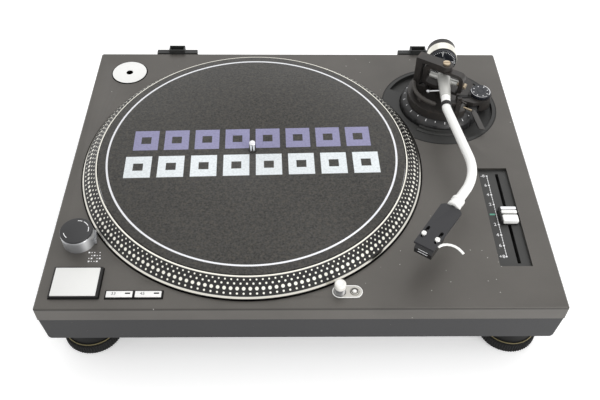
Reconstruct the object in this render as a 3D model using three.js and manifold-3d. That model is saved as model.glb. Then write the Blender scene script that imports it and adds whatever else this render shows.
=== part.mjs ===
// Direct drive turntable with an S shaped tonearm, in millimetres.
// X runs to the right, Y runs to the back and Z runs up from the surface that the feet stand on.
import * as THREE from 'three';
import { mergeVertices } from 'three/addons/utils/BufferGeometryUtils.js';
import Module from 'manifold-3d';

const wasm = await Module();
wasm.setup();

// Clearances and facets
const gap = 0.3;
const ease = 0.6;
const overrun = 1;
const weld = 1e-5;
const facets = { tiny: 8, small: 16, middle: 24, large: 36, platter: 60 };

// Driving dimensions
const plinth = { width: 453, depth: 351, skirt: 16, corner: 1.5, chamfer: 1.2, top: 4, wall: 5 };
const fromSide = (distance) => plinth.width / 2 - distance;
const fromBack = (distance) => plinth.depth - distance;
const rubber = { height: 32.3, inset: 0.4, taper: 1.6, edge: 3, corner: 1.5, wall: 8, floor: 6 };
const hatch = { width: 280, depth: 180, lip: 10, thickness: 2 };
const foot = {
  height: 35.7, radius: 27.5, knurl: 13, inFromSide: 31, inFromFront: 33.5, ringRadius: 25.4,
  ringHeight: 1.6,
  capRadius: 24, rim: 1.5, teeth: 20, toothDepth: 0.8, studRadius: 5, studTop: 18, bossRadius: 13,
};
const spindle = {
  x: -47, y: 174, radius: 3.6, top: 28.4, bottom: -41.2, collarRadius: 8, collar: 4, tipRadius: 1.2,
  shoulder: 2,
};
const platter = {
  radius: 166, rimWidth: 3, matRadius: 149.6, top: 15, seat: 13.4, lipHeight: 1.6, lip: 2,
  slopeTop: 153.2, slopeFoot: 165.2, web: 8.4, skirtInner: 158, skirtBottom: -6, hubRadius: 16, hub: 2.3,
};
const well = { gap: 2.6, depth: 13, floor: 3, wall: 3 };
const mat = { thickness: 3, inset: 0.3 };
const magnet = { outer: 74, inner: 61, height: 13 };
const stator = { radius: 60, bore: 19, plate: 2.5, coils: 9, coilRadius: 11, coilCircle: 48, coilHeight: 8 };
const bearing = { radius: 12, flange: 18, flangeHeight: 3, bottom: -44, top: -2 };
const board = { width: 170, depth: 160, thickness: 1.6, drop: 4, postRadius: 3, postInset: 8, bore: 16 };
const chip = { width: 22, depth: 9, height: 3, canRadius: 6, canHeight: 14, pitch: 34 };
const transformer = {
  x: -fromSide(56.5), y: fromBack(96), width: 56, depth: 46, height: 22, coilInset: 9, coilReach: 5,
};
const adaptor = {
  x: -fromSide(36.7), y: fromBack(35.1), radius: 19.05, bore: 3.6, height: 8.8, proud: 0.8, rim: 0.85,
  cupWall: 2.4,
};
const power = {
  x: -fromSide(25.8), y: 74, radius: 14.6, height: 13.6, recess: 1.6, knobInset: 0.8, knobProud: 1.4,
  edge: 0.6,
  shaftRadius: 3, shaftDepth: 11,
};
const strobe = { angle: 8, width: 12, reach: 1.2, height: 6 };
const start = {
  x: -fromSide(32.1), y: 26.6, width: 42.4, depth: 31.6, cap: 3, plate: 1, plateInset: 1.3, skirt: 7,
};
const speed = {
  x: -fromSide(83.1), y: 14.6, width: 24.2, depth: 8, cap: 1.4, plate: 0.8, plateInset: 0.9, skirt: 7,
};
const press = {
  stemRadius: 2.4, stem: 14, gap: 1.5, bodyRadius: 4, bodyHeight: 2.5, board: 1.6, hangerRadius: 3,
};
const pitch = {
  x: fromSide(36.4), y: 105, width: 28.9, length: 121.3, sink: 3, plate: 2, lip: 5, slotX: fromSide(32.1),
  slotWidth: 3,
  slotLength: 111, trackWidth: 14, trackDepth: 9, trackWall: 2.4,
};
const fader = {
  y: 103.7, width: 16.8, depth: 18.6, bottom: -2.4, shoulder: 0.8, top: 2.8, crown: 1.6, groove: 1.2,
  grooveWidth: 1.4,
  stemWidth: 2.2, stemDepth: 8, stem: 10,
};
const lamp = {
  x: 32, y: 17.3, radius: 5, top: 13, bottom: -14, dome: 1.4, plateX: 38.6, plateWidth: 26.4, plateDepth: 13,
  plate: 1.2, proud: 0.4, button: 3.7, buttonX: 44.8, buttonTop: 1.3, buttonBottom: -8, wall: 0.6,
  socketDrop: 30,
};
const hinge = {
  x: fromSide(87.2), shift: -0.8, width: 46, plate: 6.5, plateTop: 1, bottom: -15, mouthWidth: 17.8,
  reach: 9, mouthTop: 5,
  slotWidth: 14.8, slotGap: 6.6, slotDepth: 13,
};
const gland = {
  radius: 5, bore: 3, flange: 7.5, flangeThickness: 2.6, z: -34, powerX: -fromSide(51.5),
  phonoX: fromSide(76.5), proud: 4,
};
const dish = {
  x: fromSide(76.1), y: fromBack(89.8), radius: 61.1, thickness: 7, pocketDepth: 5, ringGap: 1.2, ledge: 4,
  bore: 14,
  ledgeBelow: 3, seatWall: 4, seatBore: 40, rightFromAngle: -66, rightToAngle: 40, leftFromAngle: 106,
  leftToAngle: 152,
  pocketEase: 2, lipWidth: 2.6, lipHeight: 3, flangeWidth: 6.4, flangeHeight: 0.9, lipFromAngle: -126,
  lipToAngle: -68,
};
const ring = {
  radius: 41.4, inner: 31.4, straight: 3, shoulder: 39.8, shoulderZ: 7, crest: 36.6, top: 9.2, grips: 12,
  gripDepth: 0.8,
};
const drum = {
  radius: 35.5, top: 18, floorHeight: 12, pocketRadius: 30, platform: 14.5, bossX: 42.3, bossY: 1.4,
  bossRadius: 12.4,
  bossBottom: 0.8, rearX: 33, rearY: 31, notchRadius: 20, notchWidth: 15, notchFloor: 6.5, notchAngle: -38,
  cutFromAngle: -52, cutToAngle: 122, spigot: 4,
};
const bracket = {
  angle: 148, outer: 31, thickness: 6.7, width: 12, top: 55, plate: 5, nose: 7, footInner: 17,
  footOuter: 27.5,
  footWidth: 13, footTop: 22,
};
const gimbal = { height: 36, half: 22, halfHeight: 12.5, depth: 8, leg: 4.4, bar: 3.4, corner: 6, lower: 4 };
const topScrew = { radius: 2.2, head: 3.7, headHeight: 2, slot: 0.8, slotDepth: 0.9 };
const sideScrew = { radius: 2, head: 3, headLength: 2.5 };
const arm = {
  angle: 4.7, crossRadius: 3, crossHalf: 15.5, rearRadius: 7, frontRadius: 5.4, housing: 30.5,
  housingBack: 6,
  sleeve: 41.5, sleeveRadius: 4.7, bandRadius: 5.4, band: 5, tubeRadius: 4.5, bandCentre: 42.5,
};
const bend = {
  firstAngle: 13.8, firstRadius: 15, secondAngle: 44.1, secondRadius: 60, middleRun: 67.63, endRun: 13.33,
  stepAngle: 5,
};
const liftPin = { ahead: 19, radius: 0.9, length: 11.5, ball: 1.9, rise: 2.4 };
const tail = { radius: 3.6, length: 62 };
const weight = {
  front: 31.6, length: 18.8, radius: 15.8, bandLength: 10.4, backRadius: 15.3, chamfer: 1, bushRadius: 6.2,
};
const dial = { length: 3.2, radius: 14.6, lip: 0.8 };
const collar = { radius: 6.1, length: 12.2, groove: 0.6, grooveFrom: 4, grooveTo: 8, bore: 3.2 };
const shell = {
  width: 20, front: 18.6, length: 54, thickness: 2.4, top: 2.6, neck: 4.4, neckLength: 8, plugRadius: 2.8,
  plug: 7,
  slotWidth: 2.8, slotFrom: 31.7, slotTo: 46.7, slotSpread: 6.4, corner: 3, rib: 1.8, ribDepth: 2.2,
};
const cartridge = {
  from: 29, to: 54, width: 16.6, height: 11.6, nose: 6, noseDrop: 5, screwAt: 42, hole: 1.5,
};
const stylus = { width: 8, from: 36, to: 50.5, height: 2.2, tip: 1.2, tipRadius: 0.5 };
const screw = { radius: 1.1, head: 2.3, headHeight: 1.6, depth: 8, slot: 0.7 };
const finger = { width: 2.8, thickness: 1, from: 43, out: 17, back: 36.5, tip: 31, tipAt: 40 };
const skate = { radius: 11, height: 3.6, edge: 0.7, stemRadius: 3.2, stem: 6 };
const lift = {
  radius: 30, barRadius: 2.2, height: 25.4, fromAngle: 166, toAngle: 246, postAngle: 206, postCircle: 28,
  postRadius: 1.6,
  postBottom: 3, stepAngle: 10,
};
const cue = {
  reach: 26, angle: -38, height: 11.4, barrel: 2.4, barrelLength: 7, pin: 1.2, pinLength: 12.6,
  earThickness: 2,
  earHeight: 14.3, rod: 1.1, elbowX: 31.1, elbowY: -24.3, elbowZ: 12.4, endX: 38.8, endY: -45, endZ: 4.6,
  width: 7.6, thickness: 1.8, bead: 1.9,
};
const rest = {
  x: 11.4, y: -30.3, width: 4.6, depth: 8, top: 38, saddleLeft: -3, saddleTop: 30.1, saddle: 3.2,
  saddleDepth: 6,
};
const clip = { hub: 2.4, hubLength: 3.6, pin: 1.1, reach: 11, thickness: 2, width: 3.4, hook: 4, rise: 1.6 };

// Places worked out from the sizes
const deckHeight = foot.height + rubber.height + plinth.skirt;
const frontY = -(plinth.depth + hinge.reach) / 2;
const rubberBottom = -plinth.skirt - rubber.height;
const halfWidth = plinth.width / 2;
const wellRadius = platter.radius + well.gap;
const wellBottom = -well.depth - well.floor;
const shellHeading = THREE.MathUtils.degToRad(arm.angle - bend.firstAngle + bend.secondAngle);

// Solids: turning three.js geometries into closed solids and back
function closedParts(geometry) {
  const bare = geometry.clone();
  bare.deleteAttribute('normal');
  bare.deleteAttribute('uv');
  const merged = mergeVertices(bare, weld);
  const positions = new Float32Array(merged.attributes.position.array);
  const triangles = [];
  const index = merged.index.array;
  for (let i = 0; i < index.length; i += 3) {
    const [a, b, c] = [index[i], index[i + 1], index[i + 2]];
    if (a !== b && b !== c && c !== a) triangles.push(a, b, c);
  }
  return { positions, triangles };
}

function signedVolume(positions, triangles) {
  const point = (i) => new THREE.Vector3().fromArray(positions, 3 * i);
  let volume = 0;
  for (let i = 0; i < triangles.length; i += 3) {
    const [a, b, c] = triangles.slice(i, i + 3).map(point);
    volume += a.dot(b.cross(c)) / 6;
  }
  return volume;
}

function solid(geometry) {
  const { positions, triangles } = closedParts(geometry);
  if (signedVolume(positions, triangles) < 0) triangles.reverse();
  const triVerts = new Uint32Array(triangles);
  return new wasm.Manifold(new wasm.Mesh({ numProp: 3, vertProperties: positions, triVerts }));
}

function geometryOf(manifold) {
  const mesh = manifold.getMesh();
  const geometry = new THREE.BufferGeometry();
  geometry.setAttribute('position', new THREE.BufferAttribute(mesh.vertProperties, mesh.numProp));
  geometry.setIndex(new THREE.BufferAttribute(mesh.triVerts, 1));
  geometry.computeVertexNormals();
  return geometry;
}

function joined(first, ...others) {
  return geometryOf(others.reduce((whole, piece) => whole.add(solid(piece)), solid(first)));
}

function cut(body, ...tools) {
  return geometryOf(tools.reduce((whole, tool) => whole.subtract(solid(tool)), solid(body)));
}


// Basic shapes, all standing along Z
function box([x0, x1], [y0, y1], [z0, z1]) {
  const block = new THREE.BoxGeometry(x1 - x0, y1 - y0, z1 - z0);
  return block.translate((x0 + x1) / 2, (y0 + y1) / 2, (z0 + z1) / 2);
}

function block(x, y, width, depth, [z0, z1]) {
  return box([x - width / 2, x + width / 2], [y - depth / 2, y + depth / 2], [z0, z1]);
}

function post(radius, [z0, z1], x = 0, y = 0, sides = facets.middle) {
  const cylinder = new THREE.CylinderGeometry(radius, radius, z1 - z0, sides);
  return cylinder.rotateX(Math.PI / 2).translate(x, y, (z0 + z1) / 2);
}

function turned(profile, sides, x = 0, y = 0) {
  const closed = profile[0][0] === 0 ? profile : [...profile, profile[0]];
  const points = closed.map(([radius, z]) => new THREE.Vector2(radius, z));
  return new THREE.LatheGeometry(points, sides).rotateX(Math.PI / 2).translate(x, y, 0);
}

function plate(outline, [z0, z1], holes = [], curveSegments = 8) {
  const shape = new THREE.Shape(outline);
  shape.holes = holes.map((hole) => new THREE.Path(hole));
  const geometry = new THREE.ExtrudeGeometry(shape, { depth: z1 - z0, bevelEnabled: false, curveSegments });
  return geometry.translate(0, 0, z0);
}

function rod(from, to, radius, sides = facets.small, endRadius = radius) {
  const along = to.clone().sub(from);
  const cylinder = new THREE.CylinderGeometry(endRadius, radius, along.length(), sides);
  const turn = new THREE.Quaternion().setFromUnitVectors(new THREE.Vector3(0, 1, 0), along.normalize());
  const middle = from.clone().add(to).multiplyScalar(1 / 2);
  return cylinder.applyQuaternion(turn).translate(middle.x, middle.y, middle.z);
}

function ball(centre, radius, sides = facets.tiny) {
  return new THREE.SphereGeometry(radius, sides, sides / 2).translate(centre.x, centre.y, centre.z);
}

function swept(points, radius, sides, steps) {
  const section = new THREE.Shape(circlePoints(radius, sides));
  const extrudePath = new THREE.CatmullRomCurve3(points);
  return new THREE.ExtrudeGeometry(section, { steps, extrudePath, bevelEnabled: false });
}

// Outlines
function polar(radius, degrees, z) {
  const angle = THREE.MathUtils.degToRad(degrees);
  const [x, y] = [radius * Math.cos(angle), radius * Math.sin(angle)];
  return z === undefined ? new THREE.Vector2(x, y) : new THREE.Vector3(x, y, z);
}

function circlePoints(radius, sides, x = 0, y = 0) {
  return Array.from(
    { length: sides }, (_, i) => polar(radius, (360 * i) / sides).add(new THREE.Vector2(x, y)),
  );
}

function roundedOutline(width, depth, corner, x = 0, y = 0, cornerSteps = 4) {
  const [reachX, reachY] = [width / 2 - corner, depth / 2 - corner];
  const centres = [
    [reachX, reachY, 0], [-reachX, reachY, 90], [-reachX, -reachY, 180], [reachX, -reachY, 270],
  ];
  return centres.flatMap(([cx, cy, from]) => (
    Array.from({ length: cornerSteps + 1 }, (_, i) => (
      polar(corner, from + (90 * i) / cornerSteps).add(new THREE.Vector2(x + cx, y + cy))
    ))
  ));
}

function sector(inner, outer, from, to, steps) {
  const at = (radius, i) => polar(radius, from + ((to - from) * i) / steps);
  const outside = Array.from({ length: steps + 1 }, (_, i) => at(outer, i));
  const inside = Array.from({ length: steps + 1 }, (_, i) => at(inner, steps - i));
  return [...outside, ...inside];
}

// A closed skin through rings of points that all have the same count
function loft(rings) {
  const count = rings[0].length;
  const positions = rings.flat().flatMap((point) => [point.x, point.y, point.z]);
  const triangles = [];
  for (let level = 0; level + 1 < rings.length; level += 1) {
    for (let i = 0; i < count; i += 1) {
      const [a, b] = [level * count + i, level * count + ((i + 1) % count)];
      triangles.push(a, b, b + count, a, b + count, a + count);
    }
  }
  const caps = THREE.ShapeUtils.triangulateShape(
    rings[0].map((point) => new THREE.Vector2(point.x, point.y)), [],
  );
  const last = (rings.length - 1) * count;
  caps.forEach(([a, b, c]) => triangles.push(a, c, b, last + a, last + b, last + c));
  const geometry = new THREE.BufferGeometry();
  geometry.setAttribute('position', new THREE.Float32BufferAttribute(positions, 3));
  geometry.setIndex(triangles);
  return geometry;
}

function level(outline, z) {
  return outline.map((point) => new THREE.Vector3(point.x, point.y, z));
}

// The model: one named mesh for each piece
const finishes = {
  deck: [0x6a6662, 0.55, 0.2], rubber: [0x3c3d40, 0.8, 0], black: [0x1c1c1e, 0.5, 0],
  grey: [0x6b6b6e, 0.5, 0.4],
  chrome: [0xd8d9dc, 0.15, 1], silver: [0xc9cbce, 0.35, 1], steel: [0xa6a8ab, 0.35, 1],
  brass: [0xb89458, 0.35, 1],
  felt: [0x2f2f31, 0.95, 0], pale: [0xe2e3e5, 0.35, 0.2], copper: [0xa4623a, 0.4, 1],
  board: [0x2f5a3c, 0.6, 0],
  gold: [0xc2a468, 0.3, 1], clear: [0xd9dde2, 0.1, 0], iron: [0x4a4c50, 0.5, 0.8],
  ferrite: [0x2b2b2e, 0.7, 0.1],
};

const turntable = new THREE.Group();
const deck = new THREE.Group();
deck.position.set(0, frontY, deckHeight);
turntable.add(deck);
const armGroup = new THREE.Group();
armGroup.position.set(dish.x, dish.y, 0);
deck.add(armGroup);

function add(group, name, finish, geometry) {
  const [color, roughness, metalness] = finishes[finish];
  const mesh = new THREE.Mesh(geometry, new THREE.MeshStandardMaterial({ color, roughness, metalness }));
  mesh.name = name;
  group.add(mesh);
}

// Places on the deck that more than one piece uses
const deckCentreY = plinth.depth / 2;
const pressedBoardTop = -press.stem - press.gap - press.bodyHeight;
const speedButtons = [[-1, '33'], [1, '45']].map(([side, name]) => (
  { name, x: speed.x + side * (speed.width + gap) / 2 }
));
const stemPlaces = [[start.x, start.y], ...speedButtons.map(({ x }) => [x, speed.y])];
const hangers = [[start.x + start.width / 2 + ease + press.hangerRadius, start.y + press.hangerRadius * 2],
  [speed.x + speed.width / 2, speed.y + speed.depth + press.hangerRadius * 2]];
const boardCorners = [[-1, -1], [1, -1], [1, 1], [-1, 1]].map(([sx, sy]) => [
  spindle.x + sx * (board.width / 2 - board.postInset), spindle.y + sy * (board.depth / 2 - board.postInset),
]);
const footPlaces = [
  ['front_left', -1, -1], ['front_right', 1, -1], ['rear_left', -1, 1], ['rear_right', 1, 1],
].map(
  ([name, sx, sy]) => ({
    name, x: sx * (halfWidth - foot.inFromSide), y: deckCentreY + sy * (deckCentreY - foot.inFromFront),
  }),
);

// Top cabinet, a cast shell with a well for the platter and a seat for every control
function topCabinet() {
  const outline = (inset) => (
    roundedOutline(plinth.width - 2 * inset, plinth.depth - 2 * inset, plinth.corner, 0, deckCentreY)
  );
  const outside = loft([
    level(outline(0), -plinth.skirt), level(outline(0), -plinth.chamfer), level(outline(plinth.chamfer), 0),
  ]);
  const hollow = block(
    0, deckCentreY, plinth.width - 2 * plinth.wall, plinth.depth - 2 * plinth.wall,
    [-plinth.skirt - overrun, -plinth.top],
  );
  const lid = -plinth.top / 2;
  const dishSeat = -dish.thickness - dish.ledgeBelow;
  const cupRadius = adaptor.radius + adaptor.rim;
  const cupFloor = adaptor.proud - adaptor.height;
  const shell = joined(
    cut(outside, hollow),
    post(wellRadius + well.wall, [wellBottom, lid], spindle.x, spindle.y, facets.platter),
    post(dish.radius + gap + dish.seatWall, [dishSeat, lid], dish.x, dish.y, facets.platter),
    post(
      cupRadius + adaptor.cupWall, [cupFloor - adaptor.cupWall, lid], adaptor.x, adaptor.y, facets.middle,
    ),
    ...boardCorners.map(
      ([x, y]) => post(board.postRadius, [wellBottom - board.drop, wellBottom + overrun], x, y, facets.tiny)
    ),
    ...hangers.map(([x, y]) => post(press.hangerRadius, [pressedBoardTop + gap, lid], x, y, facets.tiny)),
  );
  const speedSpan = 2 * speed.width + gap + 2 * ease;
  return cut(
    shell,
    post(wellRadius, [-well.depth, overrun], spindle.x, spindle.y, facets.platter),
    post(bearing.radius + ease, [wellBottom - overrun, 0], spindle.x, spindle.y, facets.middle),
    post(dish.radius + gap, [-dish.thickness, overrun], dish.x, dish.y, facets.platter),
    post(dish.seatBore, [dishSeat - overrun, 0], dish.x, dish.y, facets.middle),
    post(cupRadius, [cupFloor, overrun], adaptor.x, adaptor.y, facets.large),
    post(power.shaftRadius + ease, [-plinth.skirt, overrun], power.x, power.y, facets.small),
    block(start.x, start.y, start.width + 2 * ease, start.depth + 2 * ease, [-plinth.skirt, overrun]),
    block(speed.x, speed.y, speedSpan, speed.depth + 2 * ease, [-plinth.skirt, overrun]),
    block(pitch.x, pitch.y, pitch.width, pitch.length, [-plinth.skirt, overrun]),
    block(
      pitch.x, pitch.y, pitch.width + 2 * (pitch.lip + gap), pitch.length + 2 * (pitch.lip + gap),
      [-plinth.skirt, -pitch.sink + gap],
    ),
    plate(stadium(lamp.plateWidth + 2 * gap, lamp.plateDepth + 2 * gap), [lamp.proud - lamp.plate, overrun]),
    post(lamp.radius + gap + lamp.wall + gap, [-plinth.skirt, overrun], lamp.x, lamp.y, facets.small),
    post(lamp.button + ease, [-plinth.skirt, overrun], lamp.buttonX, lamp.y, facets.small),
  );
}

function stadium(width, depth) {
  return roundedOutline(width, depth, depth / 2, lamp.plateX, lamp.y, 8);
}

// Heavy rubber base, with a boss for each foot and a hatch in its floor
function rubberBase() {
  const outline = (inset) => (
    roundedOutline(plinth.width - 2 * inset, plinth.depth - 2 * inset, rubber.corner, 0, deckCentreY)
  );
  const low = rubber.inset + rubber.taper;
  const outside = loft([
    level(outline(low + rubber.edge), rubberBottom), level(outline(low), rubberBottom + rubber.edge),
    level(outline(rubber.inset), -plinth.skirt),
  ]);
  const side = 2 * (rubber.inset + rubber.wall);
  const hollow = block(
    0, deckCentreY, plinth.width - side, plinth.depth - side, [
      rubberBottom + rubber.floor, overrun - plinth.skirt,
    ],
  );
  const bossTop = rubberBottom + foot.studTop + rubber.floor;
  const walled = joined(
    cut(outside, hollow),
    ...footPlaces.map(
      ({ x, y }) => post(foot.bossRadius, [rubberBottom + overrun, bossTop], x, y, facets.small)
    ),
  );
  const lip = 2 * hatch.lip;
  return cut(
    walled,
    ...footPlaces.map(({ x, y }) => (
      post(
        foot.studRadius + ease, [rubberBottom - overrun, rubberBottom + foot.studTop + gap], x, y,
        facets.small,
      )
    )),
    block(0, deckCentreY, hatch.width, hatch.depth, [rubberBottom - overrun, 0]),
    block(
      0, deckCentreY, hatch.width + lip + 2 * gap, hatch.depth + lip + 2 * gap,
      [rubberBottom - overrun, rubberBottom + hatch.thickness],
    ),
    ...[gland.powerX, gland.phonoX].map((x) => throughBack(gland.radius + gap, x)),
  );
}

function throughBack(radius, x) {
  const backY = plinth.depth - rubber.inset - rubber.wall;
  const from = new THREE.Vector3(x, backY - overrun, gland.z);
  return rod(from, new THREE.Vector3(x, plinth.depth, gland.z), radius, facets.small);
}

function cordGland(x) {
  const inside = plinth.depth - rubber.inset - rubber.wall - gap;
  const at = (y) => new THREE.Vector3(x, y, gland.z);
  const body = joined(
    rod(
      at(inside - gland.flangeThickness), at(plinth.depth - rubber.inset + gland.proud), gland.radius,
      facets.small,
    ),
    rod(at(inside - gland.flangeThickness), at(inside), gland.flange, facets.small),
  );
  const bore = rod(
    at(inside - gland.flangeThickness - overrun), at(plinth.depth + hinge.reach), gland.bore, facets.tiny,
  );
  return cut(body, bore);
}

// Feet, each a knurled wheel on a stud that screws into the base
function footWheel(x, y) {
  const bottom = rubberBottom - foot.height;
  const ringFoot = bottom + foot.knurl;
  const top = rubberBottom - gap;
  const teeth = circlePoints(foot.radius, 2 * foot.teeth).map((point, i) => (
    i % 2 ? point.multiplyScalar(1 - foot.toothDepth / foot.radius) : point
  ));
  const wheel = joined(
    plate(teeth, [bottom + foot.rim, ringFoot]),
    turned([
      [0, bottom], [
        foot.radius - foot.toothDepth - foot.rim, bottom,
      ], [foot.radius - foot.toothDepth, bottom + foot.rim],
      [
        foot.ringRadius, ringFoot,
      ], [foot.ringRadius, ringFoot + foot.ringHeight], [foot.capRadius, ringFoot + foot.ringHeight],
      [foot.capRadius, top], [0, top],
    ], facets.large),
  );
  const socket = post(foot.studRadius + gap, [ringFoot - foot.knurl / 2, rubberBottom], 0, 0, facets.small);
  return cut(wheel, socket).translate(x, y, 0);
}

function footStud(x, y) {
  const from = rubberBottom - foot.height + foot.knurl / 2 + gap;
  return post(foot.studRadius, [from, rubberBottom + foot.studTop], x, y, facets.small);
}

// Drive: platter, spindle, magnet, stator and bearing
function platterDisc() {
  const foot0 = platter.hub;
  const under = platter.seat - platter.web;
  const rim = platter.slopeTop - gap;
  return turned([
    [spindle.radius + gap, foot0], [platter.hubRadius, foot0], [platter.hubRadius, under],
    [platter.skirtInner, under], [platter.skirtInner, platter.skirtBottom],
    [platter.slopeFoot - gap, platter.skirtBottom], [platter.slopeFoot - gap, platter.lip],
    [platter.radius, platter.lip], [platter.radius, platter.lip + platter.lipHeight],
    [platter.slopeFoot, platter.lip + platter.lipHeight + gap], [platter.slopeTop, platter.top - gap],
    [rim, platter.top], [rim - platter.rimWidth, platter.top], [rim - platter.rimWidth, platter.seat],
    [spindle.radius + gap, platter.seat],
  ], facets.platter, spindle.x, spindle.y);
}

function spindleShaft() {
  const collarBottom = platter.hub - spindle.collar;
  return turned([
    [0, spindle.bottom], [spindle.radius, spindle.bottom], [spindle.radius, collarBottom],
    [spindle.collarRadius, collarBottom], [spindle.collarRadius, platter.hub], [spindle.radius, platter.hub],
    [
      spindle.radius, spindle.top - spindle.shoulder,
    ], [spindle.radius - gap * 2, spindle.top - spindle.shoulder / 2],
    [spindle.tipRadius, spindle.top], [0, spindle.top],
  ], facets.small, spindle.x, spindle.y);
}

function rotorMagnet() {
  const top = platter.seat - platter.web;
  return turned([
    [
      magnet.inner, top - magnet.height,
    ], [magnet.outer, top - magnet.height], [magnet.outer, top], [magnet.inner, top],
  ], facets.large, spindle.x, spindle.y);
}

function motorStator() {
  const floor = -well.depth;
  const coils = Array.from({ length: stator.coils }, (_, i) => {
    const at = polar(stator.coilCircle, (360 * i) / stator.coils);
    return post(
      stator.coilRadius, [floor + stator.plate / 2, floor + stator.plate + stator.coilHeight], at.x, at.y,
      facets.tiny,
    );
  });
  const body = joined(post(stator.radius, [floor, floor + stator.plate], 0, 0, facets.large), ...coils);
  const bore = post(stator.bore, [floor - overrun, 0], 0, 0, facets.middle);
  return cut(body, bore).translate(spindle.x, spindle.y, 0);
}

function bearingHousing() {
  const flangeTop = -well.depth + bearing.flangeHeight;
  const bore = spindle.radius + gap;
  return turned([
    [0, bearing.bottom], [
      bearing.radius, bearing.bottom,
    ], [bearing.radius, -well.depth], [bearing.flange, -well.depth],
    [
      bearing.flange, flangeTop,
    ], [bearing.radius, flangeTop], [bearing.radius, bearing.top], [bore, bearing.top],
    [bore, spindle.bottom - gap], [0, spindle.bottom - gap],
  ], facets.middle, spindle.x, spindle.y);
}

function circuitBoard() {
  const top = wellBottom - board.drop - gap;
  const bottom = top - board.thickness;
  const chips = [-1, 0, 1].map((i) => (
    block(
      spindle.x + i * chip.pitch, spindle.y - chip.pitch, chip.width, chip.depth,
      [bottom - chip.height, bottom + gap],
    )
  ));
  const cans = [-1, 1].map((side) => (
    post(
      chip.canRadius, [bottom - chip.canHeight, bottom + gap], spindle.x + side * chip.pitch,
      spindle.y + chip.pitch, facets.tiny,
    )
  ));
  const sheet = block(spindle.x, spindle.y, board.width, board.depth, [bottom, top]);
  const bore = post(board.bore, [bottom - overrun, top + overrun], spindle.x, spindle.y, facets.small);
  return cut(joined(sheet, ...chips, ...cans), bore);
}

function powerTransformer() {
  const floor = rubberBottom + rubber.floor;
  const { x, y, width, depth, height, coilInset, coilReach } = transformer;
  const core = block(x, y, width, depth, [floor, floor + height]);
  const coil = block(
    x, y, width - 2 * coilInset, depth + 2 * coilReach,
    [floor + coilInset / 2, floor + height - coilInset / 2],
  );
  return joined(core, coil);
}

// Controls on the deck
function buttonCap({ x, y, width, depth, cap, plate: face, plateInset, skirt }) {
  return joined(
    block(x, y, width, depth, [-skirt, cap]),
    block(x, y, width - 2 * plateInset, depth - 2 * plateInset, [cap - gap, cap + face]),
    post(press.stemRadius, [-press.stem, -skirt + overrun], x, y, facets.tiny),
  );
}

function buttonBoard() {
  const left = start.x - start.width / 2;
  const right = speed.x + speed.width + press.hangerRadius;
  const front = speed.y - press.bodyRadius;
  const back = start.y + start.depth / 2;
  const sheet = box([left, right], [front, back], [pressedBoardTop - press.board, pressedBoardTop]);
  const switches = stemPlaces.map(([x, y]) => (
    post(press.bodyRadius, [pressedBoardTop - gap, pressedBoardTop + press.bodyHeight], x, y, facets.tiny)
  ));
  return joined(sheet, ...switches);
}

function powerKnob() {
  const seat = power.height - power.recess + gap;
  const radius = power.radius - power.knobInset;
  const top = power.height + power.knobProud;
  return turned([
    [
      0, -power.shaftDepth,
    ], [power.shaftRadius, -power.shaftDepth], [power.shaftRadius, seat], [radius, seat],
    [radius, top - power.edge], [radius - power.edge, top], [0, top],
  ], facets.middle, power.x, power.y);
}

function strobeHousing() {
  const bore = power.shaftRadius + gap;
  const recess = power.radius - power.knobInset + gap;
  return turned([
    [bore, 0], [power.radius, 0], [power.radius, power.height], [recess, power.height],
    [recess, power.height - power.recess], [bore, power.height - power.recess],
  ], facets.middle, power.x, power.y);
}

function strobeWindow() {
  const inner = power.radius - strobe.reach;
  const bar = box(
    [inner, power.radius + strobe.reach], [-strobe.width / 2, strobe.width / 2], [0, strobe.height],
  );
  const clear = post(power.radius + gap, [-overrun, strobe.height + overrun]);
  return cut(bar, clear).rotateZ(THREE.MathUtils.degToRad(strobe.angle)).translate(power.x, power.y, 0);
}

function pitchPanel() {
  const bottom = -pitch.sink - pitch.plate;
  const sheet = block(
    pitch.x, pitch.y, pitch.width + 2 * pitch.lip, pitch.length + 2 * pitch.lip, [bottom, -pitch.sink],
  );
  const trackLength = pitch.slotLength + 2 * pitch.trackWall;
  const track = block(
    pitch.slotX, pitch.y, pitch.trackWidth, trackLength, [bottom - pitch.trackDepth, bottom + overrun],
  );
  const groove = block(
    pitch.slotX, pitch.y, pitch.slotWidth, pitch.slotLength, [
      bottom - pitch.trackDepth + pitch.trackWall, 0,
    ],
  );
  return cut(joined(sheet, track), groove);
}

function pitchFader() {
  const outline = (inset) => (
    roundedOutline(fader.width - 2 * inset, fader.depth - 2 * inset, overrun, pitch.slotX, fader.y, 2)
  );
  const cap = loft([
    level(
      outline(0), fader.bottom,
    ), level(outline(0), fader.shoulder), level(outline(fader.crown), fader.top),
  ]);
  const stem = block(
    pitch.slotX, fader.y, fader.stemWidth, fader.stemDepth, [-fader.stem, fader.bottom + gap],
  );
  const groove = block(
    pitch.slotX, fader.y, fader.width + overrun, fader.grooveWidth, [
      fader.top - fader.groove, fader.top + overrun,
    ],
  );
  return cut(joined(cap, stem), groove);
}

function lampPlate() {
  const body = joined(
    plate(stadium(lamp.plateWidth, lamp.plateDepth), [lamp.proud - lamp.plate, lamp.proud]),
    post(lamp.radius + gap + lamp.wall, [-lamp.socketDrop, 0], lamp.x, lamp.y, facets.small),
  );
  return cut(
    body,
    post(lamp.radius + gap, [-lamp.socketDrop - overrun, overrun], lamp.x, lamp.y, facets.small),
    post(lamp.button + gap, [-lamp.plate, overrun], lamp.buttonX, lamp.y, facets.small),
  );
}

function targetLamp() {
  return turned([
    [0, lamp.bottom], [
      lamp.radius, lamp.bottom,
    ], [lamp.radius, lamp.top - lamp.dome], [lamp.radius - lamp.dome, lamp.top],
    [0, lamp.top],
  ], facets.small, lamp.x, lamp.y);
}

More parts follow.
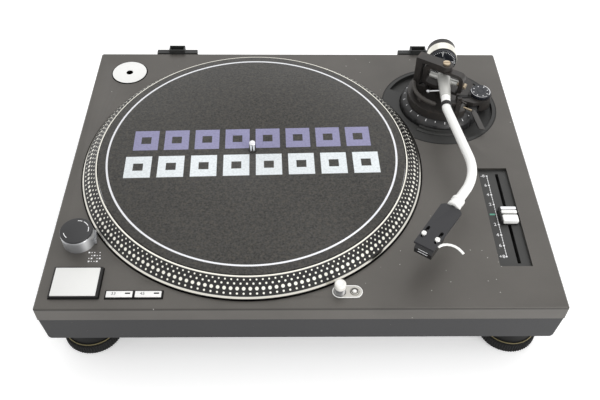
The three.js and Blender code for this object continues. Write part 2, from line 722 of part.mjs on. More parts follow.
function lampButton() {
  return post(lamp.button, [lamp.buttonBottom, lamp.buttonTop], lamp.buttonX, lamp.y, facets.small);
}

function adaptorDisc() {
  const bottom = adaptor.proud - adaptor.height;
  return turned([
    [
      adaptor.bore, bottom,
    ], [adaptor.radius, bottom], [adaptor.radius, adaptor.proud], [adaptor.bore, adaptor.proud],
  ], facets.large, adaptor.x, adaptor.y);
}

function hingeSocket(side) {
  const x = side * hinge.x + hinge.shift;
  const back = plinth.depth + hinge.reach;
  const body = joined(
    box(
      [x - hinge.width / 2, x + hinge.width / 2], [plinth.depth, plinth.depth + hinge.plate],
      [hinge.bottom, hinge.plateTop],
    ),
    box(
      [x - hinge.mouthWidth / 2, x + hinge.mouthWidth / 2], [plinth.depth, back],
      [hinge.bottom, hinge.mouthTop],
    ),
  );
  const slot = block(
    x, plinth.depth + hinge.reach / 2, hinge.slotWidth, hinge.slotGap,
    [hinge.mouthTop - hinge.slotDepth, hinge.mouthTop + overrun],
  );
  return cut(body, slot);
}

// Tonearm base: dish, height ring, base, bracket and what they carry
function dishPlate() {
  const pocketRadius = ring.radius + dish.ringGap;
  const ledge = dish.radius - dish.ledge;
  const pocket = [-dish.pocketDepth, overrun];
  const lip = (width, height) => (
    plate(sector(pocketRadius, pocketRadius + width, dish.lipFromAngle, dish.lipToAngle, 10), [-gap, height])
  );
  const disc = joined(
    post(dish.radius, [-dish.thickness, 0], 0, 0, facets.platter),
    lip(dish.lipWidth, dish.lipHeight), lip(dish.flangeWidth, dish.flangeHeight),
  );
  return cut(
    disc,
    post(pocketRadius, pocket, 0, 0, facets.large),
    plate(sector(pocketRadius - dish.pocketEase, ledge, dish.rightFromAngle, dish.rightToAngle, 14), pocket),
    plate(sector(pocketRadius - dish.pocketEase, ledge, dish.leftFromAngle, dish.leftToAngle, 8), pocket),
    post(dish.bore, [-dish.thickness - overrun, 0], 0, 0, facets.middle),
    post(
      wellRadius, [-dish.thickness - overrun, overrun], spindle.x - dish.x, spindle.y - dish.y,
      facets.platter,
    ),
  );
}

function heightRing() {
  const bottom = -dish.pocketDepth + gap;
  const body = turned([
    [ring.inner, bottom], [
      ring.radius, bottom,
    ], [ring.radius, ring.straight], [ring.shoulder, ring.shoulderZ],
    [ring.crest, ring.top], [ring.inner, ring.top],
  ], facets.large);
  const grips = Array.from({ length: ring.grips }, (_, i) => {
    const at = polar(ring.radius + ring.gripDepth, (360 * (i + 1 / 2)) / ring.grips);
    return post(ring.gripDepth * 2, [bottom - overrun, ring.top], at.x, at.y, facets.tiny);
  });
  return cut(body, ...grips);
}

function armBase() {
  const shoulder = ring.top + gap;
  const spigotTop = shoulder + overrun;
  const bottom = -dish.pocketDepth + gap;
  const boss = cut(
    post(drum.bossRadius, [drum.bossBottom, drum.platform], drum.bossX, drum.bossY, facets.middle),
    post(ring.radius + ease, [-dish.pocketDepth, shoulder], 0, 0, facets.large),
  );
  const platform = plate([
    polar(
      drum.pocketRadius, drum.notchAngle + drum.notchWidth,
    ), polar(drum.radius, drum.notchAngle + drum.notchWidth),
    new THREE.Vector2(
      drum.bossX, drum.bossY - drum.bossRadius + gap,
    ), new THREE.Vector2(drum.bossX, drum.bossY),
    new THREE.Vector2(
      drum.rearX, drum.rearY,
    ), polar(drum.pocketRadius, drum.cutToAngle - drum.notchWidth * 2),
  ], [shoulder, drum.platform]);
  const skatePost = post(
    skate.stemRadius + gap, [drum.platform - skate.stem, drum.top + overrun], drum.bossX, drum.bossY,
    facets.small,
  );
  const high = [drum.platform, drum.top + overrun];
  const pocketHeight = [drum.floorHeight, drum.top + overrun];
  const left = plate(
    sector(gap, drum.pocketRadius, drum.cutToAngle, 360 + drum.cutFromAngle, 16), pocketHeight,
  );
  const shell = cut(
    joined(
      post(ring.inner - gap, [bottom, spigotTop], 0, 0, facets.large),
      post(drum.radius, [shoulder, drum.top], 0, 0, facets.large),
    ),
    plate(sector(gap, drum.radius + overrun, drum.cutFromAngle, drum.cutToAngle, 12), high),
    left,
  );
  const notch = cut(
    plate(sector(
      drum.notchRadius, drum.radius + overrun, drum.notchAngle - drum.notchWidth,
      drum.notchAngle + drum.notchWidth, 4,
    ),
      [drum.notchFloor, drum.top + overrun]),
    post(drum.notchRadius, [0, drum.top + overrun], 0, 0, facets.middle),
  );
  const lowerPivot = post(
    gimbal.lower, [drum.floorHeight - overrun, gimbal.height - gimbal.halfHeight - gap], 0, 0, facets.small,
  );
  const postAt = polar(lift.postCircle, lift.postAngle);
  const bore = post(
    lift.postRadius + gap, [lift.postBottom - gap * 2, drum.top + overrun], postAt.x, postAt.y, facets.tiny,
  );
  const cable = post(drum.spigot, [bottom - overrun, drum.floorHeight - overrun * 2], 0, 0, facets.small);
  const solidBase = joined(
    cut(shell, notch), boss, cut(platform, notch), lowerPivot, ...cueEars(), armRest(),
  );
  return cut(solidBase, bore, cable, skatePost, cuePinBore());
}

// The cue lever turns on a pin between two ears that stand in a notch of the base
const cueTurn = THREE.MathUtils.degToRad(cue.angle);
const cueAcross = new THREE.Vector3(Math.sin(cueTurn), -Math.cos(cueTurn), 0);
const cueCentre = polar(cue.reach, cue.angle, cue.height);

function cueAxisPoint(distance) {
  return cueCentre.clone().addScaledVector(cueAcross, distance);
}

function cueEars() {
  const offset = (cue.barrelLength + cue.earThickness) / 2 + gap;
  return [-1, 1].map((side) => (
    block(
      cue.reach, side * offset, 2 * cue.barrel, cue.earThickness, [drum.notchFloor - overrun, cue.earHeight],
    ).rotateZ(cueTurn)
  ));
}

function cuePinBore() {
  return rod(cueAxisPoint(-cue.pinLength), cueAxisPoint(cue.pinLength), cue.pin + gap, facets.tiny);
}

function cueLever() {
  const elbow = new THREE.Vector3(cue.elbowX, cue.elbowY, cue.elbowZ);
  const end = new THREE.Vector3(cue.endX, cue.endY, cue.endZ);
  const along = end.clone().sub(elbow);
  const length = along.length();
  const blade = roundedOutline(length, cue.width, cue.width / 2 - gap, length / 2, 0, 3);
  const paddle = plate(blade, [-cue.thickness / 2, cue.thickness / 2]);
  paddle.rotateY(
    Math.asin(-along.z / length)
  ).rotateZ(Math.atan2(along.y, along.x)).translate(elbow.x, elbow.y, elbow.z);
  return joined(
    rod(cueAxisPoint(-cue.pinLength / 2), cueAxisPoint(cue.pinLength / 2), cue.pin, facets.tiny),
    rod(cueAxisPoint(-cue.barrelLength / 2), cueAxisPoint(cue.barrelLength / 2), cue.barrel, facets.tiny),
    rod(cueCentre, elbow, cue.rod, facets.tiny),
    ball(elbow, cue.bead),
    paddle,
  );
}

function liftBar() {
  const points = [];
  for (
    let angle = lift.fromAngle; angle <= lift.toAngle; angle += lift.stepAngle
  ) points.push(polar(lift.radius, angle, lift.height));
  const first = points[0];
  const last = points[points.length - 1];
  return joined(
    swept(points, lift.barRadius, facets.tiny, points.length - 1),
    ball(first, lift.barRadius), ball(last, lift.barRadius),
    rod(
      polar(
        lift.postCircle, lift.postAngle, lift.postBottom,
      ), polar(lift.postCircle, lift.postAngle, lift.height),
      lift.postRadius, facets.tiny,
    ),
  );
}

function pivotBracket() {
  const bottomOfPlate = bracket.top - bracket.plate;
  const inner = bracket.outer - bracket.thickness;
  const half = bracket.width / 2;
  const topPlate = joined(
    box([0, bracket.outer], [-half, half], [bottomOfPlate, bracket.top]),
    post(bracket.nose, [bottomOfPlate, bracket.top], 0, 0, facets.small),
  );
  const column = box([inner, bracket.outer], [-half, half], [drum.top + gap, bracket.top]);
  const footBlock = box(
    [
      bracket.footInner, bracket.footOuter,
    ], [-bracket.footWidth / 2, bracket.footWidth / 2], [drum.floorHeight, bracket.footTop],
  );
  const bore = post(
    topScrew.radius + gap, [bottomOfPlate - overrun, bracket.top + overrun], 0, 0, facets.small,
  );
  return cut(joined(topPlate, column, footBlock), bore).rotateZ(THREE.MathUtils.degToRad(bracket.angle));
}

function topPivotScrew() {
  const tip = gimbal.height + gimbal.halfHeight + gap;
  const head = bracket.top;
  const body = turned([
    [0, tip], [topScrew.radius, tip], [topScrew.radius, head], [topScrew.head, head],
    [topScrew.head, head + topScrew.headHeight], [0, head + topScrew.headHeight],
  ], facets.small);
  const slot = block(
    0, 0, 3 * topScrew.head, topScrew.slot, [
      head + topScrew.headHeight - topScrew.slotDepth, head + 2 * topScrew.headHeight,
    ],
  );
  return cut(body, slot);
}

function skateKnob() {
  const bottom = drum.platform + gap;
  const top = bottom + skate.height;
  return turned([
    [
      0, drum.platform - skate.stem + gap,
    ], [skate.stemRadius, drum.platform - skate.stem + gap], [skate.stemRadius, bottom],
    [skate.radius, bottom], [skate.radius, top - skate.edge], [skate.radius - skate.edge, top], [0, top],
  ], facets.middle, drum.bossX, drum.bossY);
}

function armRest() {
  const cheek = block(rest.x, rest.y, rest.width, rest.depth, [drum.floorHeight - overrun, rest.top]);
  const saddle = box(
    [rest.saddleLeft, rest.x], [rest.y - rest.saddleDepth / 2, rest.y + rest.saddleDepth / 2],
    [rest.saddleTop - rest.saddle, rest.saddleTop],
  );
  const hubRoom = rod(clipPoint(-rest.depth), clipPoint(rest.depth), clip.pin + gap, facets.tiny);
  const hubSlot = block(
    rest.x, rest.y, rest.width + overrun, clip.hubLength + 2 * gap, [
      rest.top - 2 * clip.hub - gap * 2, rest.top + overrun,
    ],
  );
  return cut(joined(cheek, saddle), hubRoom, hubSlot);
}

function clipPoint(distance) {
  return new THREE.Vector3(rest.x, rest.y + distance, rest.top - clip.hub);
}

// The clip is stored folded out to the right and closes over the tube
function armRestClip() {
  const z = rest.top - clip.hub;
  const blade = box(
    [rest.x, rest.x + clip.reach], [rest.y - clip.width / 2, rest.y + clip.width / 2],
    [z + clip.rise - clip.thickness / 2, z + clip.rise + clip.thickness / 2],
  );
  const hook = box(
    [
      rest.x + clip.reach - clip.thickness, rest.x + clip.reach,
    ], [rest.y - clip.width / 2, rest.y + clip.width / 2],
    [z + clip.rise - clip.thickness / 2, z + clip.rise + clip.hook],
  );
  const pinHalf = rest.depth / 2 - gap;
  return joined(
    rod(clipPoint(-clip.hubLength / 2), clipPoint(clip.hubLength / 2), clip.hub - gap, facets.tiny),
    rod(clipPoint(-pinHalf), clipPoint(pinHalf), clip.pin, facets.tiny),
    blade, hook,
  );
}

// Tonearm: gimbal ring, housing, tube, headshell and counterweight
const bearingTurn = THREE.MathUtils.degToRad(bracket.angle - 180);
const bearingAxis = new THREE.Vector3(Math.cos(bearingTurn), Math.sin(bearingTurn), 0);
const armHeading = THREE.MathUtils.degToRad(arm.angle);
const forward = new THREE.Vector3(-Math.sin(armHeading), -Math.cos(armHeading), 0);

function alongBearing(distance) {
  return bearingAxis.clone().multiplyScalar(distance).setZ(gimbal.height);
}

function alongArm(distance) {
  return forward.clone().multiplyScalar(distance).setZ(gimbal.height);
}

function gimbalRing() {
  const outer = roundedOutline(2 * gimbal.half, 2 * gimbal.halfHeight, gimbal.corner);
  const inner = roundedOutline(
    2 * (gimbal.half - gimbal.leg), 2 * (gimbal.halfHeight - gimbal.bar), gimbal.corner / 2,
  );
  const frame = plate(outer, [-gimbal.depth / 2, gimbal.depth / 2], [inner]);
  frame.rotateX(Math.PI / 2).rotateZ(bearingTurn).translate(0, 0, gimbal.height);
  const inside = gimbal.half - gimbal.leg;
  const stub = rod(
    alongBearing(-inside - overrun), alongBearing(-arm.crossHalf - gap), sideScrew.radius, facets.small,
  );
  const bore = rod(
    alongBearing(inside / 2), alongBearing(2 * gimbal.half), sideScrew.radius + gap, facets.small,
  );
  return cut(joined(frame, stub), bore);
}

function sidePivotScrew() {
  const headFrom = gimbal.half + gap;
  return joined(
    rod(alongBearing(arm.crossHalf + gap), alongBearing(headFrom + gap), sideScrew.radius, facets.small),
    rod(alongBearing(headFrom), alongBearing(headFrom + sideScrew.headLength), sideScrew.head, facets.small),
  );
}

function armHousing() {
  const half = arm.crossHalf;
  const bandEnd = arm.bandCentre + arm.band / 2;
  const side = new THREE.Vector3(forward.y, -forward.x, 0);
  const pinRoot = alongArm(liftPin.ahead);
  const pinEnd = pinRoot.clone().addScaledVector(side, arm.frontRadius + liftPin.length);
  pinEnd.z -= liftPin.rise;
  const body = joined(
    rod(alongArm(-arm.housingBack), alongArm(arm.housing), arm.rearRadius, facets.small, arm.frontRadius),
    rod(alongArm(arm.housing - gap), alongArm(arm.sleeve), arm.sleeveRadius, facets.small),
    rod(alongArm(bandEnd - arm.band), alongArm(bandEnd), arm.bandRadius, facets.small),
    rod(alongBearing(-half), alongBearing(half), arm.crossRadius, facets.small),
    rod(alongArm(-tail.length), alongArm(0), tail.radius, facets.small),
    rod(pinRoot, pinEnd, liftPin.radius, facets.tiny),
    ball(pinEnd, liftPin.ball),
  );
  const bore = rod(alongArm(arm.sleeve), alongArm(bandEnd + overrun), arm.tubeRadius + gap, facets.small);
  return cut(body, bore);
}

// The centre line of the tube: an arc to the right, a straight run, an arc to the left and a last run
function tubePath() {
  const points = [alongArm(arm.sleeve + gap), alongArm(arm.bandCentre + arm.band / 2)];
  let heading = arm.angle;
  const here = points[1].clone();
  const run = (length) => {
    const angle = THREE.MathUtils.degToRad(heading);
    here.add(new THREE.Vector3(-Math.sin(angle), -Math.cos(angle), 0).multiplyScalar(length));
    points.push(here.clone());
  };
  const arc = (turn, radius) => {
    const steps = Math.ceil(Math.abs(turn) / bend.stepAngle);
    const step = turn / steps;
    for (let i = 0; i < steps; i += 1) {
      heading += step / 2;
      run(2 * radius * Math.sin(THREE.MathUtils.degToRad(Math.abs(step) / 2)));
      heading += step / 2;
    }
  };
  arc(-bend.firstAngle, bend.firstRadius);
  run(bend.middleRun / 2);
  run(bend.middleRun / 2);
  arc(bend.secondAngle, bend.secondRadius);
  run(bend.endRun / 2);
  run(bend.endRun / 2);
  return points;
}

const tubePoints = tubePath();
const tubeEnd = tubePoints[tubePoints.length - 1];

function armTube() {
  return swept(tubePoints, arm.tubeRadius, facets.middle / 2, 2 * tubePoints.length);
}

// Pieces of the headshell are modelled along a line from the tube's end and then turned onto it
function onShellLine(geometry) {
  return geometry.rotateZ(-Math.PI / 2 - shellHeading).translate(tubeEnd.x, tubeEnd.y, tubeEnd.z);
}

function ahead(distance, across = 0, z = 0) {
  return new THREE.Vector3(distance, across, z);
}

const plateFrom = collar.length + gap * 2;

function headshellCollar() {
  const outer = joined(
    rod(ahead(gap), ahead(collar.grooveFrom), collar.radius, facets.small),
    rod(
      ahead(collar.grooveFrom - gap), ahead(collar.grooveTo + gap), collar.radius - collar.groove,
      facets.small,
    ),
    rod(ahead(collar.grooveTo), ahead(collar.length), collar.radius, facets.small),
  );
  return onShellLine(
    cut(
      outer,
      rod(
        ahead(collar.grooveTo - collar.grooveFrom), ahead(collar.length + overrun), collar.bore,
        facets.small,
      ),
    )
  );
}

function headshell() {
  const top = shell.top;
  const rear = plateFrom;
  const front = plateFrom + shell.length;
  const outline = [
    new THREE.Vector2(
      rear, -shell.width / 2 + shell.corner,
    ), new THREE.Vector2(rear + shell.corner, -shell.width / 2),
    new THREE.Vector2(front, -shell.front / 2), new THREE.Vector2(front, shell.front / 2),
    new THREE.Vector2(
      rear + shell.corner, shell.width / 2,
    ), new THREE.Vector2(rear, shell.width / 2 - shell.corner),
  ];
  const flat = plate(outline, [top - shell.thickness, top]);
  const neck = rod(ahead(rear), ahead(rear + shell.neckLength), shell.neck, facets.small);
  const under = box(
    [rear - overrun, rear + shell.neckLength + overrun], [-shell.neck * 2, shell.neck * 2],
    [top, shell.neck * 2],
  );
  const plug = rod(ahead(rear - shell.plug), ahead(rear + overrun), shell.plugRadius, facets.small);
  const ribs = [-1, 1].map((side) => block(
    rear + shell.neckLength + shell.rib * 4, side * (
      shell.width / 2 - shell.rib
    ), shell.neckLength * 2, shell.rib,
    [top - shell.thickness - shell.ribDepth, top - gap],
  ));
  const slots = [-1, 1].map((side) => plate(
    roundedOutline(
      shell.slotTo - shell.slotFrom, shell.slotWidth, shell.slotWidth / 2,
      rear + (shell.slotFrom + shell.slotTo) / 2, side * shell.slotSpread, 3,
    ),
    [top - shell.thickness - overrun, top + overrun],
  ));
  return onShellLine(cut(joined(flat, cut(neck, under), plug, ...ribs), ...slots));
}

function cartridgeBody() {
  const top = shell.top - shell.thickness - gap;
  const bottom = top - cartridge.height;
  const from = plateFrom + cartridge.from;
  const to = plateFrom + cartridge.to;
  const half = cartridge.width / 2;
  const side = [
    new THREE.Vector2(from, top), new THREE.Vector2(to - cartridge.nose / 2, top),
    new THREE.Vector2(to, top - cartridge.noseDrop), new THREE.Vector2(to - overrun, bottom),
    new THREE.Vector2(
      from + cartridge.nose / 2, bottom,
    ), new THREE.Vector2(from, bottom + cartridge.noseDrop),
  ];
  const body = plate(side, [-half, half]).rotateX(Math.PI / 2);
  const at = plateFrom + cartridge.screwAt;
  const holes = [-1, 1].map((turn) => (
    post(cartridge.hole, [top - screw.depth, top + overrun], at, turn * shell.slotSpread, facets.tiny)
  ));
  return onShellLine(cut(body, ...holes));
}

function stylusGrip() {
  const top = shell.top - shell.thickness - 2 * gap - cartridge.height;
  const bottom = top - stylus.height;
  const from = plateFrom + stylus.from;
  const to = plateFrom + stylus.to;
  const side = [
    new THREE.Vector2(from, top), new THREE.Vector2(to, top), new THREE.Vector2(to, top - stylus.tip),
    new THREE.Vector2(to - stylus.width / 2, bottom), new THREE.Vector2(from, bottom),
  ];
  const body = plate(side, [-stylus.width / 2, stylus.width / 2]).rotateX(Math.PI / 2);
  const tipAt = to - stylus.width / 4;
  const needle = rod(
    ahead(tipAt, 0, top - stylus.tip), ahead(tipAt, 0, bottom - stylus.tip), stylus.tipRadius, facets.tiny,
    gap,
  );
  return onShellLine(joined(body, needle));
}

function shellScrew(side) {
  const top = shell.top;
  const at = plateFrom + cartridge.screwAt;
  const y = side * shell.slotSpread;
  const body = joined(
    post(screw.radius, [top - shell.thickness - screw.depth + 2 * gap, top + gap], at, y, facets.tiny),
    post(screw.head, [top, top + screw.headHeight], at, y, facets.tiny),
  );
  return onShellLine(
    cut(
      body,
      block(at, y, screw.slot, 3 * screw.head, [top + screw.headHeight / 2, top + 2 * screw.headHeight]),
    )
  );
}

function fingerLift() {
  const edge = shell.front / 2 + gap;
  const line = new THREE.CatmullRomCurve3([
    ahead(finger.from, edge), ahead(
      finger.from - finger.width / 2, (edge + finger.out) / 2,
    ), ahead(finger.back, finger.out),
    ahead((finger.back + finger.tipAt) / 2, (finger.out + finger.tip) / 2), ahead(finger.tipAt, finger.tip),
  ].map((point) => point.setX(point.x + plateFrom)));
  const centre = line.getPoints(10);
  const sides = [-1, 1].map((side) => centre.map((point, i) => {
    const tangent = line.getTangent(i / 10);
    return new THREE.Vector2(
      point.x - side * tangent.y * finger.width / 2, point.y + side * tangent.x * finger.width / 2,
    );
  }));
  const outline = [...sides[0], ...sides[1].reverse()];
  const blade = plate(
    outline, [shell.top - shell.thickness, shell.top - shell.thickness + finger.thickness],
  );
  const clear = box(
    [plateFrom, plateFrom + shell.length + overrun], [-edge, edge], [-shell.length, shell.length],
  );
  return onShellLine(cut(blade, clear));
}

function onTail(profile, sides) {
  const body = turned(profile, sides).rotateX(-Math.PI / 2);
  return body.rotateZ(-armHeading).translate(0, 0, gimbal.height);
}

function weightBush() {
  const from = weight.front + overrun;
  const to = weight.front + weight.length - overrun;
  return onTail([
    [
      tail.radius + gap, from,
    ], [weight.bushRadius - gap, from], [weight.bushRadius - gap, to], [tail.radius + gap, to],
  ], facets.small);
}

function counterweight() {
  const { front, length, radius, bandLength, backRadius, chamfer, bushRadius } = weight;
  const end = front + length;
  return onTail([
    [bushRadius, front], [radius - gap, front], [radius, front + gap], [radius, front + bandLength],
    [
      backRadius, front + bandLength + gap,
    ], [backRadius, end - chamfer], [backRadius - chamfer, end], [bushRadius, end],
  ], facets.middle);
}

function dialRing() {
  const to = weight.front - gap;
  const from = to - dial.length;
  return onTail([
    [
      tail.radius + 2 * gap, from,
    ], [dial.radius - dial.lip, from], [dial.radius, from + dial.lip], [dial.radius, to],
    [tail.radius + 2 * gap, to],
  ], facets.middle);
}

// Assembly: chassis
add(deck, 'top_cabinet', 'deck', topCabinet());
add(deck, 'rubber_base', 'rubber', rubberBase());
add(deck, 'bottom_cover', 'black', block(
  0, deckCentreY, hatch.width + 2 * hatch.lip, hatch.depth + 2 * hatch.lip, [
    rubberBottom, rubberBottom + hatch.thickness,
  ],
));
add(deck, 'power_cord_gland', 'black', cordGland(gland.powerX));
add(deck, 'phono_cord_gland', 'black', cordGland(gland.phonoX));
add(deck, 'hinge_socket_left', 'black', hingeSocket(-1));
add(deck, 'hinge_socket_right', 'black', hingeSocket(1));
footPlaces.forEach(({ name, x, y }) => {
  add(deck, `foot_stud_${name}`, 'steel', footStud(x, y));
  add(deck, `foot_${name}`, 'black', footWheel(x, y));
});

// Assembly: drive
add(deck, 'motor_stator', 'copper', motorStator());
add(deck, 'bearing_housing', 'steel', bearingHousing());
add(deck, 'circuit_board', 'board', circuitBoard());
add(deck, 'power_transformer', 'iron', powerTransformer());
add(deck, 'spindle', 'steel', spindleShaft());
add(deck, 'platter', 'silver', platterDisc());
add(deck, 'rotor_magnet', 'ferrite', rotorMagnet());
add(deck, 'slipmat', 'felt', turned([
  [spindle.radius + gap, platter.seat], [platter.matRadius - mat.inset, platter.seat],
  [
    platter.matRadius - mat.inset, platter.seat + mat.thickness,
  ], [spindle.radius + gap, platter.seat + mat.thickness],
], facets.platter, spindle.x, spindle.y));

// Assembly: controls
add(deck, 'single_adaptor', 'pale', adaptorDisc());
add(deck, 'strobe_housing', 'silver', strobeHousing());
add(deck, 'strobe_window', 'clear', strobeWindow());
add(deck, 'power_knob', 'black', powerKnob());
add(deck, 'start_button', 'pale', buttonCap(start));
speedButtons.forEach(({ name, x }) => add(deck, `speed_button_${name}`, 'pale', buttonCap({ ...speed, x })));
add(deck, 'button_board', 'board', buttonBoard());
add(deck, 'pitch_panel', 'black', pitchPanel());
add(deck, 'pitch_fader', 'chrome', pitchFader());
add(deck, 'lamp_plate', 'grey', lampPlate());
add(deck, 'target_lamp', 'pale', targetLamp());
add(deck, 'lamp_button', 'silver', lampButton());

// Assembly: tonearm base
add(armGroup, 'tonearm_dish', 'black', dishPlate());
add(armGroup, 'height_ring', 'black', heightRing());
add(armGroup, 'tonearm_base', 'black', armBase());
add(armGroup, 'pivot_bracket', 'black', pivotBracket());
add(armGroup, 'top_pivot_screw', 'brass', topPivotScrew());
add(armGroup, 'anti_skate_knob', 'black', skateKnob());
add(armGroup, 'cue_lever', 'grey', cueLever());
add(armGroup, 'lift_bar', 'black', liftBar());
add(armGroup, 'arm_rest_clip', 'black', armRestClip());

// Assembly: tonearm
add(armGroup, 'gimbal_ring', 'black', gimbalRing());
add(armGroup, 'side_pivot_screw', 'brass', sidePivotScrew());
add(armGroup, 'arm_housing', 'silver', armHousing());
add(armGroup, 'arm_tube', 'silver', armTube());
add(armGroup, 'headshell_collar', 'silver', headshellCollar());
add(armGroup, 'headshell', 'black', headshell());
add(armGroup, 'finger_lift', 'chrome', fingerLift());
add(armGroup, 'cartridge', 'black', cartridgeBody());
add(armGroup, 'stylus', 'black', stylusGrip());
add(armGroup, 'cartridge_screw_left', 'chrome', shellScrew(-1));
add(armGroup, 'cartridge_screw_right', 'chrome', shellScrew(1));
add(armGroup, 'counterweight_bush', 'steel', weightBush());
add(armGroup, 'counterweight', 'silver', counterweight());
add(armGroup, 'stylus_force_dial', 'black', dialRing());

export default turntable;
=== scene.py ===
import math

import bmesh
import bpy
from bpy.props import FloatProperty, FloatVectorProperty, PointerProperty
from mathutils import Matrix, Vector


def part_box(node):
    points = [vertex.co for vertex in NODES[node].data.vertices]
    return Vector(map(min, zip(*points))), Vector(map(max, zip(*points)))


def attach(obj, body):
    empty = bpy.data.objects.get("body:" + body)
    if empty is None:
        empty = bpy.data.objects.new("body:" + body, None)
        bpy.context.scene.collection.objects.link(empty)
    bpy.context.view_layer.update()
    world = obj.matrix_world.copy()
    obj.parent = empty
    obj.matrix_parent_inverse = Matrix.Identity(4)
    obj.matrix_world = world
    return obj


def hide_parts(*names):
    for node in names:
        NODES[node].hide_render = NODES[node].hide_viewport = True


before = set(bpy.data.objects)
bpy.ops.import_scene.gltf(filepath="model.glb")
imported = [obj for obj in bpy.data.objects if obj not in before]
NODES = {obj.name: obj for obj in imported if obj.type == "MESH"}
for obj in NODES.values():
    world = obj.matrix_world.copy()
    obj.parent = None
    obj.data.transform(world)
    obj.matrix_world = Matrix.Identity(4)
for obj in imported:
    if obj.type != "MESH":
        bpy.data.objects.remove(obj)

bl_info = {
    "name": "Direct drive turntable",
    "version": (1, 0, 0),
    "blender": (4, 5, 0),
    "location": "3D View > Sidebar > Turntable",
    "description": "Dresses the turntable's solids with finished pieces and materials",
    "category": "Add Mesh",
}

MM = 0.001
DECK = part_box("strobe_housing")[0][2]
FEET = ("front_left", "front_right", "rear_left", "rear_right")
SIDES = ("left", "right")
TINY_EDGE = 0.1 * MM
SMALL_EDGE = 0.2 * MM
RELIEF_DEPTH = 0.2 * MM
INK_DEPTH = 0.01
INK_HEIGHT = 0.03


def centre_of(node):
    """The middle of a solid's box."""
    low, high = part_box(node)
    return (Vector(low) + Vector(high)) / 2


def radius_of(node):
    """Half the width of a round solid, in millimetres."""
    low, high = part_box(node)
    return (high[0] - low[0]) / 2 / MM


def above_deck(node):
    """The heights of a solid's underside and top above the deck, in millimetres."""
    low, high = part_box(node)
    return (low[2] - DECK) / MM, (high[2] - DECK) / MM


def limits_of(node):
    """The left, right, front and rear of a solid, in millimetres."""
    low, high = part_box(node)
    return low[0] / MM, high[0] / MM, low[1] / MM, high[1] / MM


SPINDLE = centre_of("spindle")
PIVOT = centre_of("top_pivot_screw")
TOWER = centre_of("power_knob")
ADAPTOR = centre_of("single_adaptor")
SKATE = centre_of("anti_skate_knob")
LAMP = centre_of("target_lamp")
LAMP_BUTTON = centre_of("lamp_button")
ARM_HEIGHT = centre_of("gimbal_ring").z


# Sizes and colours that a user would change

def length(name, description, millimetres):
    """A size in metres, shown in the scene's unit."""
    return FloatProperty(
        name=name, description=description, default=millimetres * MM, unit="LENGTH", precision=5,
    )


def colour(name, description, red, green, blue):
    """A colour, given as it shows on a screen from 0 to 255."""
    values = tuple(linear(value / 255) for value in (red, green, blue))
    return FloatVectorProperty(
        name=name, description=description, default=values, subtype="COLOR", size=3, min=0, max=1,
    )


def linear(value):
    """A screen value from 0 to 1 as a linear one."""
    return value / 12.92 if value <= 0.04045 else ((value + 0.055) / 1.055) ** 2.4


class TurntableSizes(bpy.types.PropertyGroup):
    """Sizes of the finished pieces"""

    soft_edge: length("Soft edge", "Rounding of the cast and moulded edges", 0.7)
    fine_edge: length("Fine edge", "Rounding of the small machined edges", 0.3)
    mat_ring: length("Mat ring radius", "Radius of the printed ring on the mat", 140.8)
    mat_ring_width: length("Mat ring width", "Width of the printed ring on the mat", 1.85)


class TurntableColours(bpy.types.PropertyGroup):
    """Colours of the finishes"""

    deck: colour("Deck", "Paint of the top cabinet", 93, 90, 86)
    base: colour("Base", "Rubber of the lower half", 57, 57, 58)
    black: colour("Black", "Black plastic and the dotted band", 35, 34, 34)
    arm_base: colour("Tonearm base", "Worn warm black of the tonearm's base", 52, 49, 47)
    dish: colour("Dish", "Round plate below the tonearm", 54, 54, 53)
    mat: colour("Mat", "Felt of the mat", 63, 62, 60)
    violet: colour("Upper blocks", "Blocks on the far half of the mat", 154, 152, 187)
    pale: colour("Lower blocks", "Blocks on the near half of the mat", 243, 249, 252)
    silver: colour("Silver", "Plated and machined metal", 205, 206, 208)
    brass: colour("Brass", "Pivot screws", 193, 177, 152)
    gold: colour("Gold", "Ring around each foot", 150, 139, 101)
    panel: colour("Pitch panel", "Sunk panel below the fader", 58, 58, 57)


# Meshes

def profile_mesh(profile, steps, slots=()):
    """A profile of (radius, height) in millimetres turned about Z, each stretch with its material index."""
    shape = bmesh.new()
    points = [shape.verts.new((radius * MM, 0, height * MM)) for radius, height in profile]
    stretches = list(zip(profile, profile[1:] + profile[:1]))
    edges = [shape.edges.new(pair) for pair in zip(points, points[1:] + points[:1])]
    bmesh.ops.spin(
        shape, geom=points + edges, cent=(0, 0, 0), axis=(0, 0, 1), angle=2 * math.pi, steps=steps,
        use_merge=True,
    )
    bmesh.ops.remove_doubles(shape, verts=shape.verts, dist=1e-7)
    bmesh.ops.recalc_face_normals(shape, faces=shape.faces)
    middles = [((a[0] + b[0]) / 2, (a[1] + b[1]) / 2) for a, b in stretches]
    for face in shape.faces if slots else ():
        centre = face.calc_center_median()
        place = (math.hypot(centre.x, centre.y) / MM, centre.z / MM)
        nearest = min(range(len(middles)), key=lambda i: math.dist(middles[i], place))
        face.material_index = slots[nearest]
    return shape


def slab_mesh(outline, bottom, top, edge=0.0):
    """An outline raised from bottom to top, with its edges rounded, in millimetres."""
    shape = bmesh.new()
    face = shape.faces.new([shape.verts.new((x * MM, y * MM, bottom * MM)) for x, y in outline])
    raised = bmesh.ops.extrude_face_region(shape, geom=[face])
    top_points = [item for item in raised["geom"] if isinstance(item, bmesh.types.BMVert)]
    bmesh.ops.translate(shape, verts=top_points, vec=(0, 0, (top - bottom) * MM))
    bmesh.ops.recalc_face_normals(shape, faces=shape.faces)
    if edge:
        round_edges(shape, level_edges(shape), edge * MM)
    return shape


def level_edges(shape):
    """The edges of a shape that lie flat."""
    return [edge for edge in shape.edges if abs(edge.verts[0].co.z - edge.verts[1].co.z) < 1e-7]


